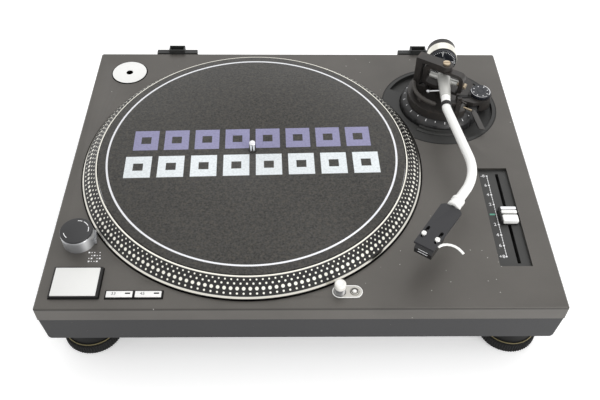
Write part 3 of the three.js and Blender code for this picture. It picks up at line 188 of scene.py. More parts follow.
def round_edges(shape, edges, width, segments=2):
    """Rounds some edges of a shape."""
    bmesh.ops.bevel(
        shape, geom=edges, offset=width, affect="EDGES", segments=segments, profile=0.5, material=-1,
        clamp_overlap=True,
    )


def cut_away(shape, centre, normal, distance):
    """Takes off what lies beyond a plane and closes the cut."""
    result = bmesh.ops.bisect_plane(
        shape, geom=shape.verts[:] + shape.edges[:] + shape.faces[:], plane_co=centre + normal * distance,
        plane_no=normal, clear_outer=True,
    )
    rim = [part for part in result["geom_cut"] if isinstance(part, bmesh.types.BMEdge)]
    bmesh.ops.contextual_create(shape, geom=rim)


def strip_mesh(x0, x1, y0, y1, z0, z1, edge=0.0):
    """A block between limits in millimetres, with all its edges rounded."""
    shape = bmesh.new()
    low, high = Vector((x0, y0, z0)) * MM, Vector((x1, y1, z1)) * MM
    bmesh.ops.create_cube(shape, size=1)
    bmesh.ops.scale(shape, verts=shape.verts, vec=high - low)
    bmesh.ops.translate(shape, verts=shape.verts, vec=(low + high) / 2)
    if edge:
        round_edges(shape, shape.edges[:], edge * MM)
    return shape


def arc_points(radius, start, end, steps):
    """Points along an arc, its ends given in degrees."""
    angles = [math.radians(start + (end - start) * i / steps) for i in range(steps + 1)]
    return [(radius * math.cos(angle), radius * math.sin(angle)) for angle in angles]


def arc_mark(inner, outer, start, end, z):
    """A thin raised arc on a dial, in millimetres and degrees."""
    outline = arc_points(outer, start, end, 16) + arc_points(inner, start, end, 16)[::-1]
    return slab_mesh(outline, z - INK_DEPTH, z + INK_HEIGHT)


def turned_to(direction):
    """The turn that lays an upright shape along a direction."""
    return Vector((0, 0, 1)).rotation_difference(direction).to_matrix().to_4x4()


def rod_mesh(start, end, radius, steps=32, edge=0.0):
    """A round bar between two points in metres."""
    shape = bmesh.new()
    start, end = Vector(start), Vector(end)
    along = end - start
    bmesh.ops.create_cone(
        shape, cap_ends=True, segments=steps, radius1=radius, radius2=radius, depth=along.length,
    )
    if edge:
        round_edges(shape, level_edges(shape), edge)
    return moved(shape, Matrix.Translation((start + end) / 2) @ turned_to(along))


def ball_mesh(centre, radius, steps=20):
    """A ball, in metres."""
    shape = bmesh.new()
    bmesh.ops.create_uvsphere(shape, u_segments=steps, v_segments=steps // 2, radius=radius)
    return moved(shape, Matrix.Translation(centre))


def swept_mesh(points, radius, steps):
    """A round bar that follows a line of points in metres."""
    headings = [(after - before).normalized() for before, after in zip(points, points[1:])]
    facing = [headings[0]]
    for before, after in zip(headings, headings[1:] + headings[-1:]):
        facing.append((before + after).normalized())
    shape = bmesh.new()
    ring = bmesh.ops.create_circle(shape, cap_ends=False, segments=steps, radius=radius)["verts"]
    edges = list({edge for point in ring for edge in point.link_edges})
    first = Matrix.Translation(points[0]) @ turned_to(headings[0])
    bmesh.ops.transform(shape, matrix=first, verts=ring)
    bmesh.ops.edgeloop_fill(shape, edges=edges)
    for i in range(1, len(points)):
        grown = bmesh.ops.extrude_edge_only(shape, edges=edges)["geom"]
        ring = [item for item in grown if isinstance(item, bmesh.types.BMVert)]
        edges = [item for item in grown if isinstance(item, bmesh.types.BMEdge)]
        spin = facing[i - 1].rotation_difference(facing[i]).to_matrix().to_4x4()
        about = Matrix.Translation(points[i]) @ spin @ Matrix.Translation(-points[i - 1])
        bmesh.ops.transform(shape, matrix=about, verts=ring)
    bmesh.ops.edgeloop_fill(shape, edges=edges)
    bmesh.ops.recalc_face_normals(shape, faces=shape.faces)
    return shape


def solid_copy(node):
    """A solid's mesh with its loose triangles joined and its flat faces made whole."""
    shape = bmesh.new()
    shape.from_mesh(NODES[node].data)
    bmesh.ops.remove_doubles(shape, verts=shape.verts, dist=2e-6)
    bmesh.ops.dissolve_limit(shape, angle_limit=0.01, verts=shape.verts[:], edges=shape.edges[:])
    return shape


def gather(*shapes):
    """Several shapes as one, each a bmesh or a pair of a bmesh and its material index."""
    whole = bmesh.new()
    for item in shapes:
        shape, slot = item if isinstance(item, tuple) else (item, None)
        if slot is not None:
            for face in shape.faces:
                face.material_index = slot
        mesh = bpy.data.meshes.new("gathered")
        shape.to_mesh(mesh)
        shape.free()
        whole.from_mesh(mesh)
        bpy.data.meshes.remove(mesh)
    return whole


def moved(shape, matrix):
    """The shape after a transform."""
    bmesh.ops.transform(shape, matrix=matrix, verts=shape.verts)
    return shape


def around(shape, degrees):
    """The shape turned about Z."""
    return moved(shape, Matrix.Rotation(math.radians(degrees), 4, "Z"))


def at(place, z=DECK):
    """A move to a place on the deck."""
    return Matrix.Translation((place[0], place[1], z))


def number_mesh(text, size, place):
    """Plain figures as a thin solid, centred on a place in millimetres."""
    curve = bpy.data.curves.new("figures", "FONT")
    curve.body = text
    curve.size = size * MM
    curve.extrude = 0.05 * MM
    curve.resolution_u = 2
    curve.align_x = "CENTER"
    curve.align_y = "CENTER"
    holder = bpy.data.objects.new("figures", curve)
    mesh = bpy.data.meshes.new_from_object(holder)
    shape = bmesh.new()
    shape.from_mesh(mesh)
    bpy.data.objects.remove(holder)
    bpy.data.curves.remove(curve)
    bpy.data.meshes.remove(mesh)
    bmesh.ops.remove_doubles(shape, verts=shape.verts, dist=1e-6)
    bmesh.ops.recalc_face_normals(shape, faces=shape.faces)
    return moved(shape, Matrix.Translation(Vector(place) * MM))


# Pieces

def place_piece(name, shape, body, finishes, nodes=(), angle=35, bevel=0.0):
    """Puts a finished shape in the scene: it rides on a body and stands for some solids."""
    mesh = bpy.data.meshes.new(name)
    shape.to_mesh(mesh)
    shape.free()
    for finish_name in finishes.split():
        mesh.materials.append(finish(finish_name))
    mesh.shade_smooth()
    mesh.set_sharp_from_angle(angle=math.radians(angle))
    piece = bpy.data.objects.new(name, mesh)
    bpy.context.scene.collection.objects.link(piece)
    if bevel:
        rounding = piece.modifiers.new("Rounded edges", "BEVEL")
        rounding.width = bevel
        rounding.segments = 2
        rounding.limit_method = "ANGLE"
        rounding.angle_limit = math.radians(angle)
        rounding.harden_normals = True
    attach(piece, body)
    if nodes:
        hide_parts(*nodes)
    return piece


def finished(node, shape, body, finishes, angle=35, bevel=0.0):
    """Puts a finished shape in the place of one solid."""
    return place_piece(f"{node}_finished", shape, body, finishes, [node], angle, bevel)


def refine(node, body, finishes, bevel, angle=35):
    """A rounded copy of a solid in its finish."""
    return finished(node, solid_copy(node), body, finishes, angle, bevel)


# Materials

class Value:
    """An output of a shader node. Sums on it add the nodes that work them out."""

    def __init__(self, tree, socket):
        self.tree = tree
        self.socket = socket

    def sum(self, operation, *others):
        """The result of one maths node on this value and others."""
        inputs = {f"i{i}": value for i, value in enumerate((self, *others))}
        return add_node(self.tree, "ShaderNodeMath", {"operation": operation}, **inputs)[0]

    def __add__(self, other):
        return self.sum("ADD", other)

    def __sub__(self, other):
        return self.sum("SUBTRACT", other)

    def __rsub__(self, number):
        return add_node(self.tree, "ShaderNodeMath", {"operation": "SUBTRACT"}, i0=number, i1=self)[0]

    def __mul__(self, other):
        return self.sum("MULTIPLY", other)

    def __truediv__(self, other):
        return self.sum("DIVIDE", other)

    def __pow__(self, other):
        return self.sum("POWER", other)

    def __lt__(self, other):
        return self.sum("LESS_THAN", other)

    def __gt__(self, other):
        return self.sum("GREATER_THAN", other)

    def __abs__(self):
        return self.sum("ABSOLUTE")


def add_node(tree, kind, settings=None, **inputs):
    """Adds a node and returns its outputs. An input goes by its name, or by its number as i0."""
    node = tree.nodes.new(kind)
    for key, value in (settings or {}).items():
        setattr(node, key, value)
    for key, value in inputs.items():
        numbered = key[0] == "i" and key[1:].isdigit()
        feed(tree, node.inputs[int(key[1:]) if numbered else key.replace("_", " ")], value)
    return [Value(tree, socket) for socket in node.outputs]


def feed(tree, socket, value):
    """Links a value to an input, or sets a plain number or colour on it."""
    if isinstance(value, Value):
        tree.links.new(value.socket, socket)
    else:
        socket.default_value = value


def noise(place, scale, detail, **inputs):
    """Soft noise over a piece."""
    return add_node(place.tree, "ShaderNodeTexNoise", Vector=place, Scale=scale, Detail=detail, **inputs)[0]


def cells(place, scale):
    """The distance to the nearest of many scattered points."""
    return add_node(place.tree, "ShaderNodeTexVoronoi", Vector=place, Scale=scale)[0]


def ramp(value, start, end, first, last):
    """A value carried over from one range to another."""
    return add_node(
        value.tree, "ShaderNodeMapRange",
        Value=value, From_Min=start, From_Max=end, To_Min=first, To_Max=last,
    )[0]


def mix(share, first, second):
    """A mixture of two colours."""
    return add_node(share.tree, "ShaderNodeMix", {"data_type": "RGBA"}, i0=share, i6=first, i7=second)[2]


def shaded(colour_value, level):
    """A colour made lighter or darker by a level."""
    return add_node(
        colour_value.tree, "ShaderNodeVectorMath", {"operation": "SCALE"}, i0=colour_value, i3=level,
    )[0]


def parts_of(place):
    """The three parts of a place."""
    return add_node(place.tree, "ShaderNodeSeparateXYZ", Vector=place)


def distance(across, along):
    """The length of the slant over two sides."""
    return (across * across + along * along).sum("SQRT")


def from_centre(place, centre):
    """The place on the piece, counted from a centre."""
    return add_node(
        place.tree, "ShaderNodeVectorMath", {"operation": "SUBTRACT"}, i0=place, i1=tuple(centre),
    )[0]


def group_of(name, inputs, outputs):
    """A new node group, its given values by name, and its result sockets."""
    group = bpy.data.node_groups.new(name, "ShaderNodeTree")
    for label, default in inputs:
        kind = {tuple: "NodeSocketColor", float: "NodeSocketFloat"}.get(type(default), "NodeSocketVector")
        socket = group.interface.new_socket(name=label, in_out="INPUT", socket_type=kind)
        if default is not None:
            socket.default_value = default
    for label, kind in outputs:
        group.interface.new_socket(name=label, in_out="OUTPUT", socket_type=kind)
    given = {socket.name: Value(group, socket) for socket in group.nodes.new("NodeGroupInput").outputs}
    return group, given, group.nodes.new("NodeGroupOutput").inputs


COLOUR_AND_HEIGHT = (("Colour", "NodeSocketColor"), ("Height", "NodeSocketFloat"))


def grain_group():
    """Fine grain with wide mottling and small pale specks, as on paint, rubber or plastic."""
    group, given, results = group_of(
        "Surface grain",
        (("Place", None), ("Colour", (0.5, 0.5, 0.5, 1)), ("Fleck colour", (0.9, 0.9, 0.9, 1)),
         ("Grain size", 900.0), ("Grain", 0.1), ("Mottle", 0.1), ("Flecks", 0.0)),
        COLOUR_AND_HEIGHT,
    )
    fine = noise(given["Place"], scale=given["Grain size"], detail=3.0)
    wide = noise(given["Place"], scale=14.0, detail=4.0)
    specks = cells(given["Place"], scale=160.0) < given["Flecks"]
    level = ((fine - 0.5) * given["Grain"] + (wide - 0.5) * given["Mottle"]) * 2.0 + 1.0
    feed(group, results["Colour"], mix(specks, shaded(given["Colour"], level), given["Fleck colour"]))
    feed(group, results["Height"], fine)
    return group


def turned_group():
    """Fine circles around an axis, as on metal turned on a lathe."""
    group, given, results = group_of(
        "Turned metal",
        (("Place", None), ("Colour", (0.7, 0.7, 0.7, 1)), ("Line pitch", 2500.0), ("Depth", 0.1)),
        COLOUR_AND_HEIGHT,
    )
    across, along, _ = parts_of(given["Place"])
    rings = add_node(
        group, "ShaderNodeTexNoise", {"noise_dimensions": "1D"},
        W=distance(across, along) * given["Line pitch"], Scale=1.0, Detail=2.0,
    )[0]
    feed(group, results["Colour"], shaded(given["Colour"], (rings - 0.5) * given["Depth"] + 1.0))
    feed(group, results["Height"], rings)
    return group


def dot_group():
    """One row of round dots around an axis."""
    group, given, results = group_of(
        "Dot row",
        (("Turn share", 0.0), ("Radius", 0.0), ("Along", 0.0), ("Count", 180.0), ("Row place", 0.0),
         ("Dot radius", 0.001), ("Shift", 0.0)),
        (("Mask", "NodeSocketFloat"),),
    )
    turns = given["Turn share"] * given["Count"] + given["Shift"]
    pitch = given["Radius"] * (2 * math.pi) / given["Count"]
    away = distance((turns.sum("FRACT") - 0.5) * pitch, given["Along"] - given["Row place"])
    feed(group, results["Mask"], ramp(away / given["Dot radius"], 0.85, 1.1, 1.0, 0.0))
    return group


GROUPS = {}


def use_group(tree, make, **inputs):
    """Adds a shared group, which is built once, and returns its outputs by name."""
    if make not in GROUPS:
        GROUPS[make] = make()
    return {
        value.socket.name: value
        for value in add_node(tree, "ShaderNodeGroup", {"node_tree": GROUPS[make]}, **inputs)
    }


def grain(place, values, size=900.0, fine=0.1, mottle=0.1, flecks=0.0, fleck_colour=None):
    """The colour and the height of a grained surface."""
    results = use_group(
        place.tree, grain_group, Place=place, Colour=full(values), Fleck_colour=full(fleck_colour or values),
        Grain_size=size, Grain=fine, Mottle=mottle, Flecks=flecks,
    )
    return results["Colour"], results["Height"]


def full(values, factor=1.0):
    """A colour with its alpha, made lighter or darker by a factor."""
    return tuple(min(1.0, value * factor) for value in values) + (1.0,)


def start_material(name, roughness, metallic, shine=0.5):
    """A material with its shader, and the place on the piece."""
    material = bpy.data.materials.new(name)
    material.use_nodes = True
    tree = material.node_tree
    tree.nodes.clear()
    output = tree.nodes.new("ShaderNodeOutputMaterial")
    shader = tree.nodes.new("ShaderNodeBsdfPrincipled")
    shader.inputs["Roughness"].default_value = roughness
    shader.inputs["Metallic"].default_value = metallic
    shader.inputs["Specular IOR Level"].default_value = shine
    tree.links.new(shader.outputs[0], output.inputs[0])
    return material, shader.inputs, Value(tree, tree.nodes.new("ShaderNodeTexCoord").outputs["Object"])


def close_material(material, inputs, colour_value, height=None, relief=0.0, depth=RELIEF_DEPTH):
    """Gives a material its colour and its small relief."""
    tree = material.node_tree
    feed(tree, inputs["Base Color"], colour_value)
    if height:
        bump = add_node(tree, "ShaderNodeBump", Height=height, Strength=relief, Distance=depth)[0]
        feed(tree, inputs["Normal"], bump)
    return material


def plain_material(name, values, roughness, metallic, fine, mottle, flecks, size, relief, shine=0.5):
    """Paint, rubber, plastic or plain metal with grain and mottling."""
    material, inputs, place = start_material(name, roughness, metallic, shine)
    paint, height = grain(place, values, size, fine, mottle, flecks, (0.5, 0.48, 0.45))
    return close_material(material, inputs, paint, height, relief)


def deck_material(values):
    """Dark grey paint with soft mottling, patches of dust and painted shade in a dark band below the top
    edge.
    """
    material, inputs, place = start_material("Deck paint", roughness=0.42, metallic=0.3, shine=0.4)
    paint, height = grain(place, values, size=1300.0, fine=0.1, mottle=0.3)
    level = parts_of(place)[2]
    # Painted shade: the colour is half as bright in a band from 0.9 to 1.8 mm below the deck's top, standing
    # for shade under the top edge.
    below_edge = ramp(level, DECK - 0.9 * MM, DECK - 0.3 * MM, 1.0, 0.0)
    above_foot = ramp(level, DECK - 2.6 * MM, DECK - 1.8 * MM, 0.0, 0.5)
    painted_edge_shade = 1.0 - below_edge * above_foot
    thin_dust = (cells(place, scale=85.0) < 0.045) * (noise(place, scale=7.0, detail=2.0) > 0.53)
    crumbs_place, crumbs_radius = (0.15, -0.135, DECK), 36 * MM
    away = add_node(
        place.tree, "ShaderNodeVectorMath", {"operation": "DISTANCE"}, i0=place, i1=crumbs_place,
    )[1]
    crumbs = (cells(place, scale=150.0) < 0.075) * (away < crumbs_radius)
    dust = thin_dust.sum("MAXIMUM", crumbs) * 0.6
    dust_colour = (0.6, 0.59, 0.56, 1.0)
    dust_and_edge_shade = mix(dust, shaded(paint, painted_edge_shade), dust_colour)
    return close_material(material, inputs, dust_and_edge_shade, height, relief=0.08)


def worn_metal(name, values, roughness):
    """Black metal with brown wear in patches and a few pale scuffs."""
    material, inputs, place = start_material(name, roughness, metallic=0.25)
    scuffs = (0.3, 0.26, 0.2)
    paint, height = grain(place, values, 700.0, fine=0.12, mottle=0.1, flecks=0.035, fleck_colour=scuffs)
    wear = ramp(noise(place, scale=95.0, detail=5.0, Roughness=0.7), 0.54, 0.74, 0.0, 0.65)
    brown = (values[0] * 2.1, values[1] * 1.8, values[2] * 1.6, 1.0)
    return close_material(material, inputs, mix(wear, paint, brown), height, relief=0.06)


def dish_material(values):
    """Smooth dark paint with a black ring near the rim, painted shade of the groove there."""
    material, inputs, place = start_material("Dish paint", roughness=0.5, metallic=0.0, shine=0.35)
    paint, height = grain(place, values, size=1100.0, fine=0.06, mottle=0.1)
    across, along, _ = parts_of(from_centre(place, (PIVOT.x, PIVOT.y, 0.0)))
    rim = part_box("tonearm_dish")[1][0] - PIVOT.x
    # Painted shade: a black ring 0.8 to 1.4 mm inside the rim stands for the shade in the groove.
    ring = ramp(rim - distance(across, along), 0.8 * MM, 1.4 * MM, 0.9, 0.0)
    black = (0.008, 0.008, 0.008, 1.0)
    return close_material(material, inputs, mix(ring, paint, black), height, relief=0.06)


def drawn_metal_with_painted_highlights(name, values, centre):
    """Drawn metal with a narrow and a wide painted highlight that run upright on a round piece, reflected
    light painted into its colour.
    """
    material, inputs, place = start_material(name, roughness=0.26, metallic=0.6)
    across, along, _ = parts_of(from_centre(place, (centre.x, centre.y, 0.0)))
    angle = along.sum("ARCTAN2", across)
    # Painted highlights: two bright bands at fixed angles round the piece lift the colour, standing for
    # reflected light.
    narrow, wide = painted_highlight_band(angle, turn=0.85, sharpness=20.0), painted_highlight_band(angle, turn=2.8, sharpness=10.0)
    paint, height = grain(place, values, size=1500.0, fine=0.04, mottle=0.04)
    painted_highlight_colour = shaded(paint, narrow * 0.9 + wide * 0.5 + 0.55)
    return close_material(material, inputs, painted_highlight_colour, height, relief=0.02)


def painted_highlight_band(angle, turn, sharpness):
    """A painted highlight on both sides of a round piece, from 0 to 1."""
    return abs((angle + turn).sum("COSINE")) ** sharpness


def turned_metal(name, values, roughness, depth):
    """Metal turned on a lathe about the spindle."""
    material, inputs, place = start_material(name, roughness, metallic=1.0)
    results = use_group(
        place.tree, turned_group, Place=from_centre(place, (SPINDLE.x, SPINDLE.y, 0.0)), Colour=full(values),
        Line_pitch=2500.0, Depth=depth,
    )
    return close_material(
        material, inputs, results["Colour"], results["Height"], relief=0.05, depth=0.1 * MM,
    )


# Each row of dots: its place down the slope, the radius of its dots and its shift, in millimetres and pitches
DOT_ROWS = ((2.2, 0.8, 0.0), (5.6, 0.95, 0.5), (9.8, 1.6, 0.0), (14.0, 0.95, 0.0))
DOT_COUNT = 180.0
BAND_TOP = 14.7 * MM
SLOPE_PER_HEIGHT = 1.57


def strobe_band_material(values, silver):
    """The black slope of the platter with its four rows of silver dots."""
    material, inputs, place = start_material("Platter dots", roughness=0.4, metallic=0.2)
    across, along, up = parts_of(from_centre(place, (SPINDLE.x, SPINDLE.y, DECK)))
    slope = {
        "Turn_share": along.sum("ARCTAN2", across) / (2 * math.pi), "Radius": distance(across, along),
        "Along": (BAND_TOP - up) * SLOPE_PER_HEIGHT, "Count": DOT_COUNT,
    }
    dots = None
    for row_place, radius, shift in DOT_ROWS:
        row = use_group(
            place.tree, dot_group, Row_place=row_place * MM, Dot_radius=radius * MM, Shift=shift, **slope,
        )["Mask"]
        dots = dots.sum("MAXIMUM", row) if dots else row
    dotted = mix(dots, full(values, factor=0.8), full(silver))
    return close_material(material, inputs, dotted, dots, relief=0.6, depth=0.3 * MM)


# Each row of blocks: the middle of the row, half its height and half its length, in millimetres
BLOCK_ROWS = ((17.2, 13.8, 120.0), (-19.5, 14.2, 125.5))
BLOCK_HOLE = 4.8 * MM
BLOCK_SHARE = 0.4
MAT_TURN = -1.8


def block_row(across, along, middle, half, reach):
    """A row of eight plain blocks on the mat, each with a hole, as a mask. Sizes are in millimetres."""
    pitch = reach / 4 * MM
    cell = abs(((across + reach * MM) / pitch).sum("FRACT") - 0.5)
    columns = (abs(across) < reach * MM) * (cell < BLOCK_SHARE)
    offset = abs(along - middle * MM)
    outside_hole = (cell * pitch).sum("MAXIMUM", offset) > BLOCK_HOLE
    return columns * outside_hole * (offset < half * MM)


def mat_material(colours, sizes):
    """Felt with a printed ring and two rows of plain blocks."""
    material, inputs, place = start_material("Printed felt", roughness=0.95, metallic=0.0)
    inputs["Sheen Weight"].default_value = 0.15
    values = colours.mat
    pale = full(values, factor=1.6)[:3]
    fibres, height = grain(place, values, 520.0, fine=1.15, mottle=0.27, flecks=0.06, fleck_colour=pale)
    tinge = ramp(noise(place, scale=280.0, detail=4.0, Roughness=0.8), 0.47, 0.68, 0.0, 0.8)
    felt = mix(tinge, fibres, (values[0] * 1.95, values[1] * 1.82, values[2] * 1.6, 1.0))
    turned = add_node(
        place.tree, "ShaderNodeVectorRotate", {"rotation_type": "EULER_XYZ"},
        Vector=from_centre(place, (SPINDLE.x, SPINDLE.y, 0.0)), Rotation=(0.0, 0.0, math.radians(MAT_TURN)),
    )[0]
    across, along, _ = parts_of(turned)
    worn = height * 0.5 + 0.68
    for row, tint in zip(BLOCK_ROWS, (colours.violet, colours.pale)):
        ink = (block_row(across, along, *row) * worn).sum("MINIMUM", 1.0)
        felt = mix(ink, felt, full(tint))
    ring = abs(distance(across, along) - sizes.mat_ring) < sizes.mat_ring_width / 2
    ring_colour = (0.95, 0.96, 1.0, 1.0)
    return close_material(
        material, inputs, mix(ring, felt, ring_colour), height, relief=0.5, depth=0.6 * MM,
    )


def clear_material():
    """Clear lens plastic."""
    material, inputs, place = start_material("Clear lens", roughness=0.08, metallic=0.0)
    inputs["Transmission Weight"].default_value = 0.7
    inputs["IOR"].default_value = 1.49
    return close_material(material, inputs, grain(place, (0.85, 0.86, 0.88), fine=0.02, mottle=0.03)[0])


# Finish: label, colour or the name of a user's colour, roughness, metallic, grain, mottle, flecks,
# grain size, relief and, where it isn't 0.5, the shine
PLAIN_FINISHES = {
    "base": ("Base rubber", "base", 0.6, 0.0, 0.14, 0.12, 0.02, 700.0, 0.12, 0.3),
    "plastic": ("Black plastic", "black", 0.45, 0.0, 0.1, 0.1, 0.0, 1200.0, 0.1, 0.25),
    "panel": ("Panel paint", "panel", 0.45, 0.3, 0.08, 0.08, 0.03, 1400.0, 0.06),
    "silver": ("Satin silver", "silver", 0.28, 1.0, 0.05, 0.05, 0.0, 1500.0, 0.03),
    "brass": ("Brass", "brass", 0.35, 0.7, 0.08, 0.1, 0.0, 1200.0, 0.03),
    "gold": ("Gold ring", "gold", 0.35, 0.3, 0.05, 0.05, 0.0, 1200.0, 0.02),
    "shell": ("Headshell black", (0.03, 0.03, 0.033), 0.4, 0.1, 0.06, 0.08, 0.0, 1300.0, 0.03, 0.35),
    "dial": ("Dial black", (0.014, 0.016, 0.022), 0.25, 0.2, 0.08, 0.1, 0.0, 1200.0, 0.03),
    "paddle": ("Lever grey", (0.074, 0.071, 0.068), 0.45, 0.3, 0.08, 0.1, 0.0, 1200.0, 0.04),
    "cream": ("Cream plate", (0.86, 0.84, 0.76), 0.28, 0.6, 0.03, 0.04, 0.0, 1500.0, 0.02),
    "foot": ("Foot rubber", (0.013, 0.013, 0.013), 0.6, 0.0, 0.1, 0.1, 0.0, 1200.0, 0.1, 0.15),
    # Near black painted into gaps and holes as their shade: the platter's inner rim wall and the adaptor's
    # bore and outline.
    "dark": ("Dark slot", (0.006, 0.006, 0.006), 0.7, 0.0, 0.1, 0.1, 0.0, 900.0, 0.1, 0.1),
    "plate": ("White plastic", (0.98, 0.98, 0.96), 0.4, 0.0, 0.01, 0.01, 0.0, 900.0, 0.02),
    "white": ("White plate", (0.97, 0.97, 0.955), 0.35, 0.0, 0.02, 0.02, 0.0, 900.0, 0.03),
    "start": ("Start plate", (0.86, 0.86, 0.84), 0.35, 0.0, 0.02, 0.02, 0.0, 900.0, 0.03),
    "tube": ("Tube plating", (0.99, 0.99, 0.965), 0.3, 0.15, 0.02, 0.02, 0.0, 1500.0, 0.01),
    "socket": ("Socket plastic", (0.04, 0.041, 0.04), 0.5, 0.0, 0.06, 0.08, 0.0, 1200.0, 0.05, 0.3),
    "lamp_metal": ("Lamp metal", (0.9, 0.88, 0.83), 0.35, 0.2, 0.02, 0.02, 0.0, 1500.0, 0.01),
    "lamp_plate": ("Lamp plate", (0.5, 0.485, 0.45), 0.3, 0.5, 0.05, 0.05, 0.0, 1500.0, 0.02),
    "knob": ("Knob plastic", (0.03, 0.03, 0.032), 0.35, 0.0, 0.06, 0.06, 0.0, 1200.0, 0.04, 0.4),
    "bar": ("Lift rubber", (0.066, 0.06, 0.055), 0.55, 0.0, 0.1, 0.1, 0.0, 1200.0, 0.08, 0.3),
    "gloss": ("Cartridge gloss", (0.012, 0.012, 0.013), 0.15, 0.0, 0.02, 0.02, 0.0, 1200.0, 0.01),
    "pearl": ("Pale silver", (0.56, 0.56, 0.53), 0.38, 0.35, 0.03, 0.04, 0.0, 1500.0, 0.02),
    "chrome": ("Bright plate", (0.84, 0.84, 0.86), 0.12, 1.0, 0.02, 0.03, 0.0, 1500.0, 0.01),
    "steel": ("Plain steel", (0.5, 0.5, 0.52), 0.3, 1.0, 0.08, 0.08, 0.0, 1500.0, 0.03),
    "copper": ("Copper winding", (0.45, 0.17, 0.07), 0.35, 1.0, 0.1, 0.1, 0.0, 1200.0, 0.1),
    "board": ("Circuit board", (0.02, 0.09, 0.04), 0.5, 0.0, 0.1, 0.1, 0.0, 1200.0, 0.05),
    "iron": ("Sintered iron", (0.05, 0.05, 0.055), 0.55, 0.6, 0.15, 0.1, 0.0, 900.0, 0.1),
    "ink": ("White ink", (0.93, 0.93, 0.94), 0.5, 0.0, 0.05, 0.05, 0.0, 1200.0, 0.0),
    "grey_ink": ("Grey ink", (0.12, 0.12, 0.13), 0.5, 0.0, 0.05, 0.05, 0.0, 1200.0, 0.0),
    "green_ink": ("Green ink", (0.12, 0.42, 0.3), 0.5, 0.0, 0.05, 0.05, 0.0, 1200.0, 0.0),
}
SPECIAL_FINISHES = {
    "deck": lambda scene: deck_material(scene.turntable_colours.deck),
    "worn": lambda scene: worn_metal("Worn black", scene.turntable_colours.arm_base, 0.42),
    "ring": lambda scene: worn_metal("Height ring", (0.03, 0.03, 0.031), 0.4),
    "dish": lambda scene: dish_material(scene.turntable_colours.dish),
    # The tower and the lamp's sleeve are drawn metal with highlights painted into the colour.
    "tower": lambda scene: drawn_metal_with_painted_highlights("Tower metal", (0.78, 0.79, 0.81), TOWER),
    "sleeve": lambda scene: drawn_metal_with_painted_highlights("Lamp sleeve", (0.62, 0.62, 0.63), LAMP),
    "platter": lambda scene: turned_metal("Platter metal", scene.turntable_colours.silver, 0.3, 0.3),
    "polished": lambda scene: turned_metal("Polished rim", (0.76, 0.74, 0.67), 0.12, 0.15),
    "dots": lambda scene: strobe_band_material(scene.turntable_colours.black, (0.95, 0.93, 0.84)),
    "felt": lambda scene: mat_material(scene.turntable_colours, scene.turntable_sizes),
    "clear": lambda scene: clear_material(),
}
FINISHES = {}


def finish(name):
    """A finish by its name, built once from the chosen colours."""
    if name not in FINISHES:
        scene = bpy.context.scene
        if name in PLAIN_FINISHES:
            label, values, *rest = PLAIN_FINISHES[name]
            if isinstance(values, str):
                values = getattr(scene.turntable_colours, values)
            FINISHES[name] = plain_material(label, values, *rest)
        else:
            FINISHES[name] = SPECIAL_FINISHES[name](scene)
    return FINISHES[name]


# Operators: chassis and feet

def turned_piece(node, body, place, profile, steps, finishes, slots=(), extras=(), angle=30, ground=DECK):
    """A profile turned about an upright axis in the place of a solid, with the marks or ribs on it."""
    shape = gather(profile_mesh(profile, steps, slots), *extras)
    return finished(node, moved(shape, at(place, ground)), body, finishes, angle)


class TurntableOperator:
    """What all the operators share."""

    bl_options = {"REGISTER", "UNDO"}

    def execute(self, context):
        """Builds the operator's pieces; an error stops the script."""
        self.build(context.scene.turntable_sizes)
        return {"FINISHED"}


class BuildChassis(TurntableOperator, bpy.types.Operator):
    """Finishes the top cabinet, the rubber base and the hinge sockets"""

    bl_idname = "turntable.build_chassis"
    bl_label = "Chassis"

    def build(self, sizes):
        """Builds the cabinet, the base, the well's lip, the sockets and the printed key."""
        refine("top_cabinet", "chassis", "deck", sizes.soft_edge)
        self.rubber_base(sizes)
        self.well_edge()
        for side in SIDES:
            refine(f"hinge_socket_{side}", "chassis", "socket", sizes.fine_edge)
        self.printed_dots()

    def printed_dots(self):
        """Prints a small key of dots and dashes on the deck beside the tower."""
        deck = DECK / MM
        left, top, column_pitch, row_pitch, lean = -189.4, -119.6, 2.4, 3.3, 0.35
        marks = []
        for row in range(4):
            for column in range(5):
                if (row + 2 * column) % 5 == 1:
                    continue
                x = left + column_pitch * column + lean * row
                y = top - row_pitch * row
                half = 0.45 if (row + column) % 3 else 0.75
                marks.append(strip_mesh(x - half, x + half, y - half, y + half, deck - 0.05, deck + 0.03))
        place_piece("deck_print", gather(*marks), "chassis", "ink")

    def well_edge(self):
        """Builds the thin lip that narrows the platter's well towards the front."""
        radius, back, mouth, outside = 168.1, 1.7, 168.55, 168.9
        arc = (-197, 17, 160)
        inner = []
        for x, y in arc_points(1.0, *arc):
            reach = min(mouth, back * y + math.sqrt(radius ** 2 - (back * x) ** 2))
            inner.append((reach * x, reach * y))
        lip = slab_mesh(arc_points(outside, *arc) + inner[::-1], bottom=-1.5, top=0.03)
        place_piece("well_edge", moved(lip, at(SPINDLE)), "chassis", "deck")

    def rubber_base(self, sizes):
        """Sharpens the base's lower edge and rounds it at both ends."""
        base = solid_copy("rubber_base")
        low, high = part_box("rubber_base")
        edge_width, edge_height, face_height = 6.5 * MM, 3.5 * MM, 1.0 * MM
        step, lip, end_gap, radius = 2.4 * MM, 0.6 * MM, 1.6 * MM, 5.5 * MM
        for point in base.verts:
            place = point.co
            beside = min(place.x - low[0], high[0] - place.x, place.y - low[1], high[1] - place.y)
            if beside > edge_width or place.z > low[2] + edge_height:
                continue
            if place.z > low[2] + face_height:
                place.z = low[2] + lip
            else:
                place.x += math.copysign(step, place.x)
                place.y += math.copysign(step, place.y - (low[1] + high[1]) / 2)
        reach = (high[0] - low[0]) / 2 - end_gap - radius
        for side in (-1, 1):
            centre = Vector((side * reach, 0, low[2] + radius))
            for degrees in (18, 36, 54, 72):
                angle = math.radians(degrees)
                cut_away(base, centre, Vector((side * math.sin(angle), 0, -math.cos(angle))), radius)
        finished("rubber_base", base, "chassis", "base", 35, sizes.fine_edge)


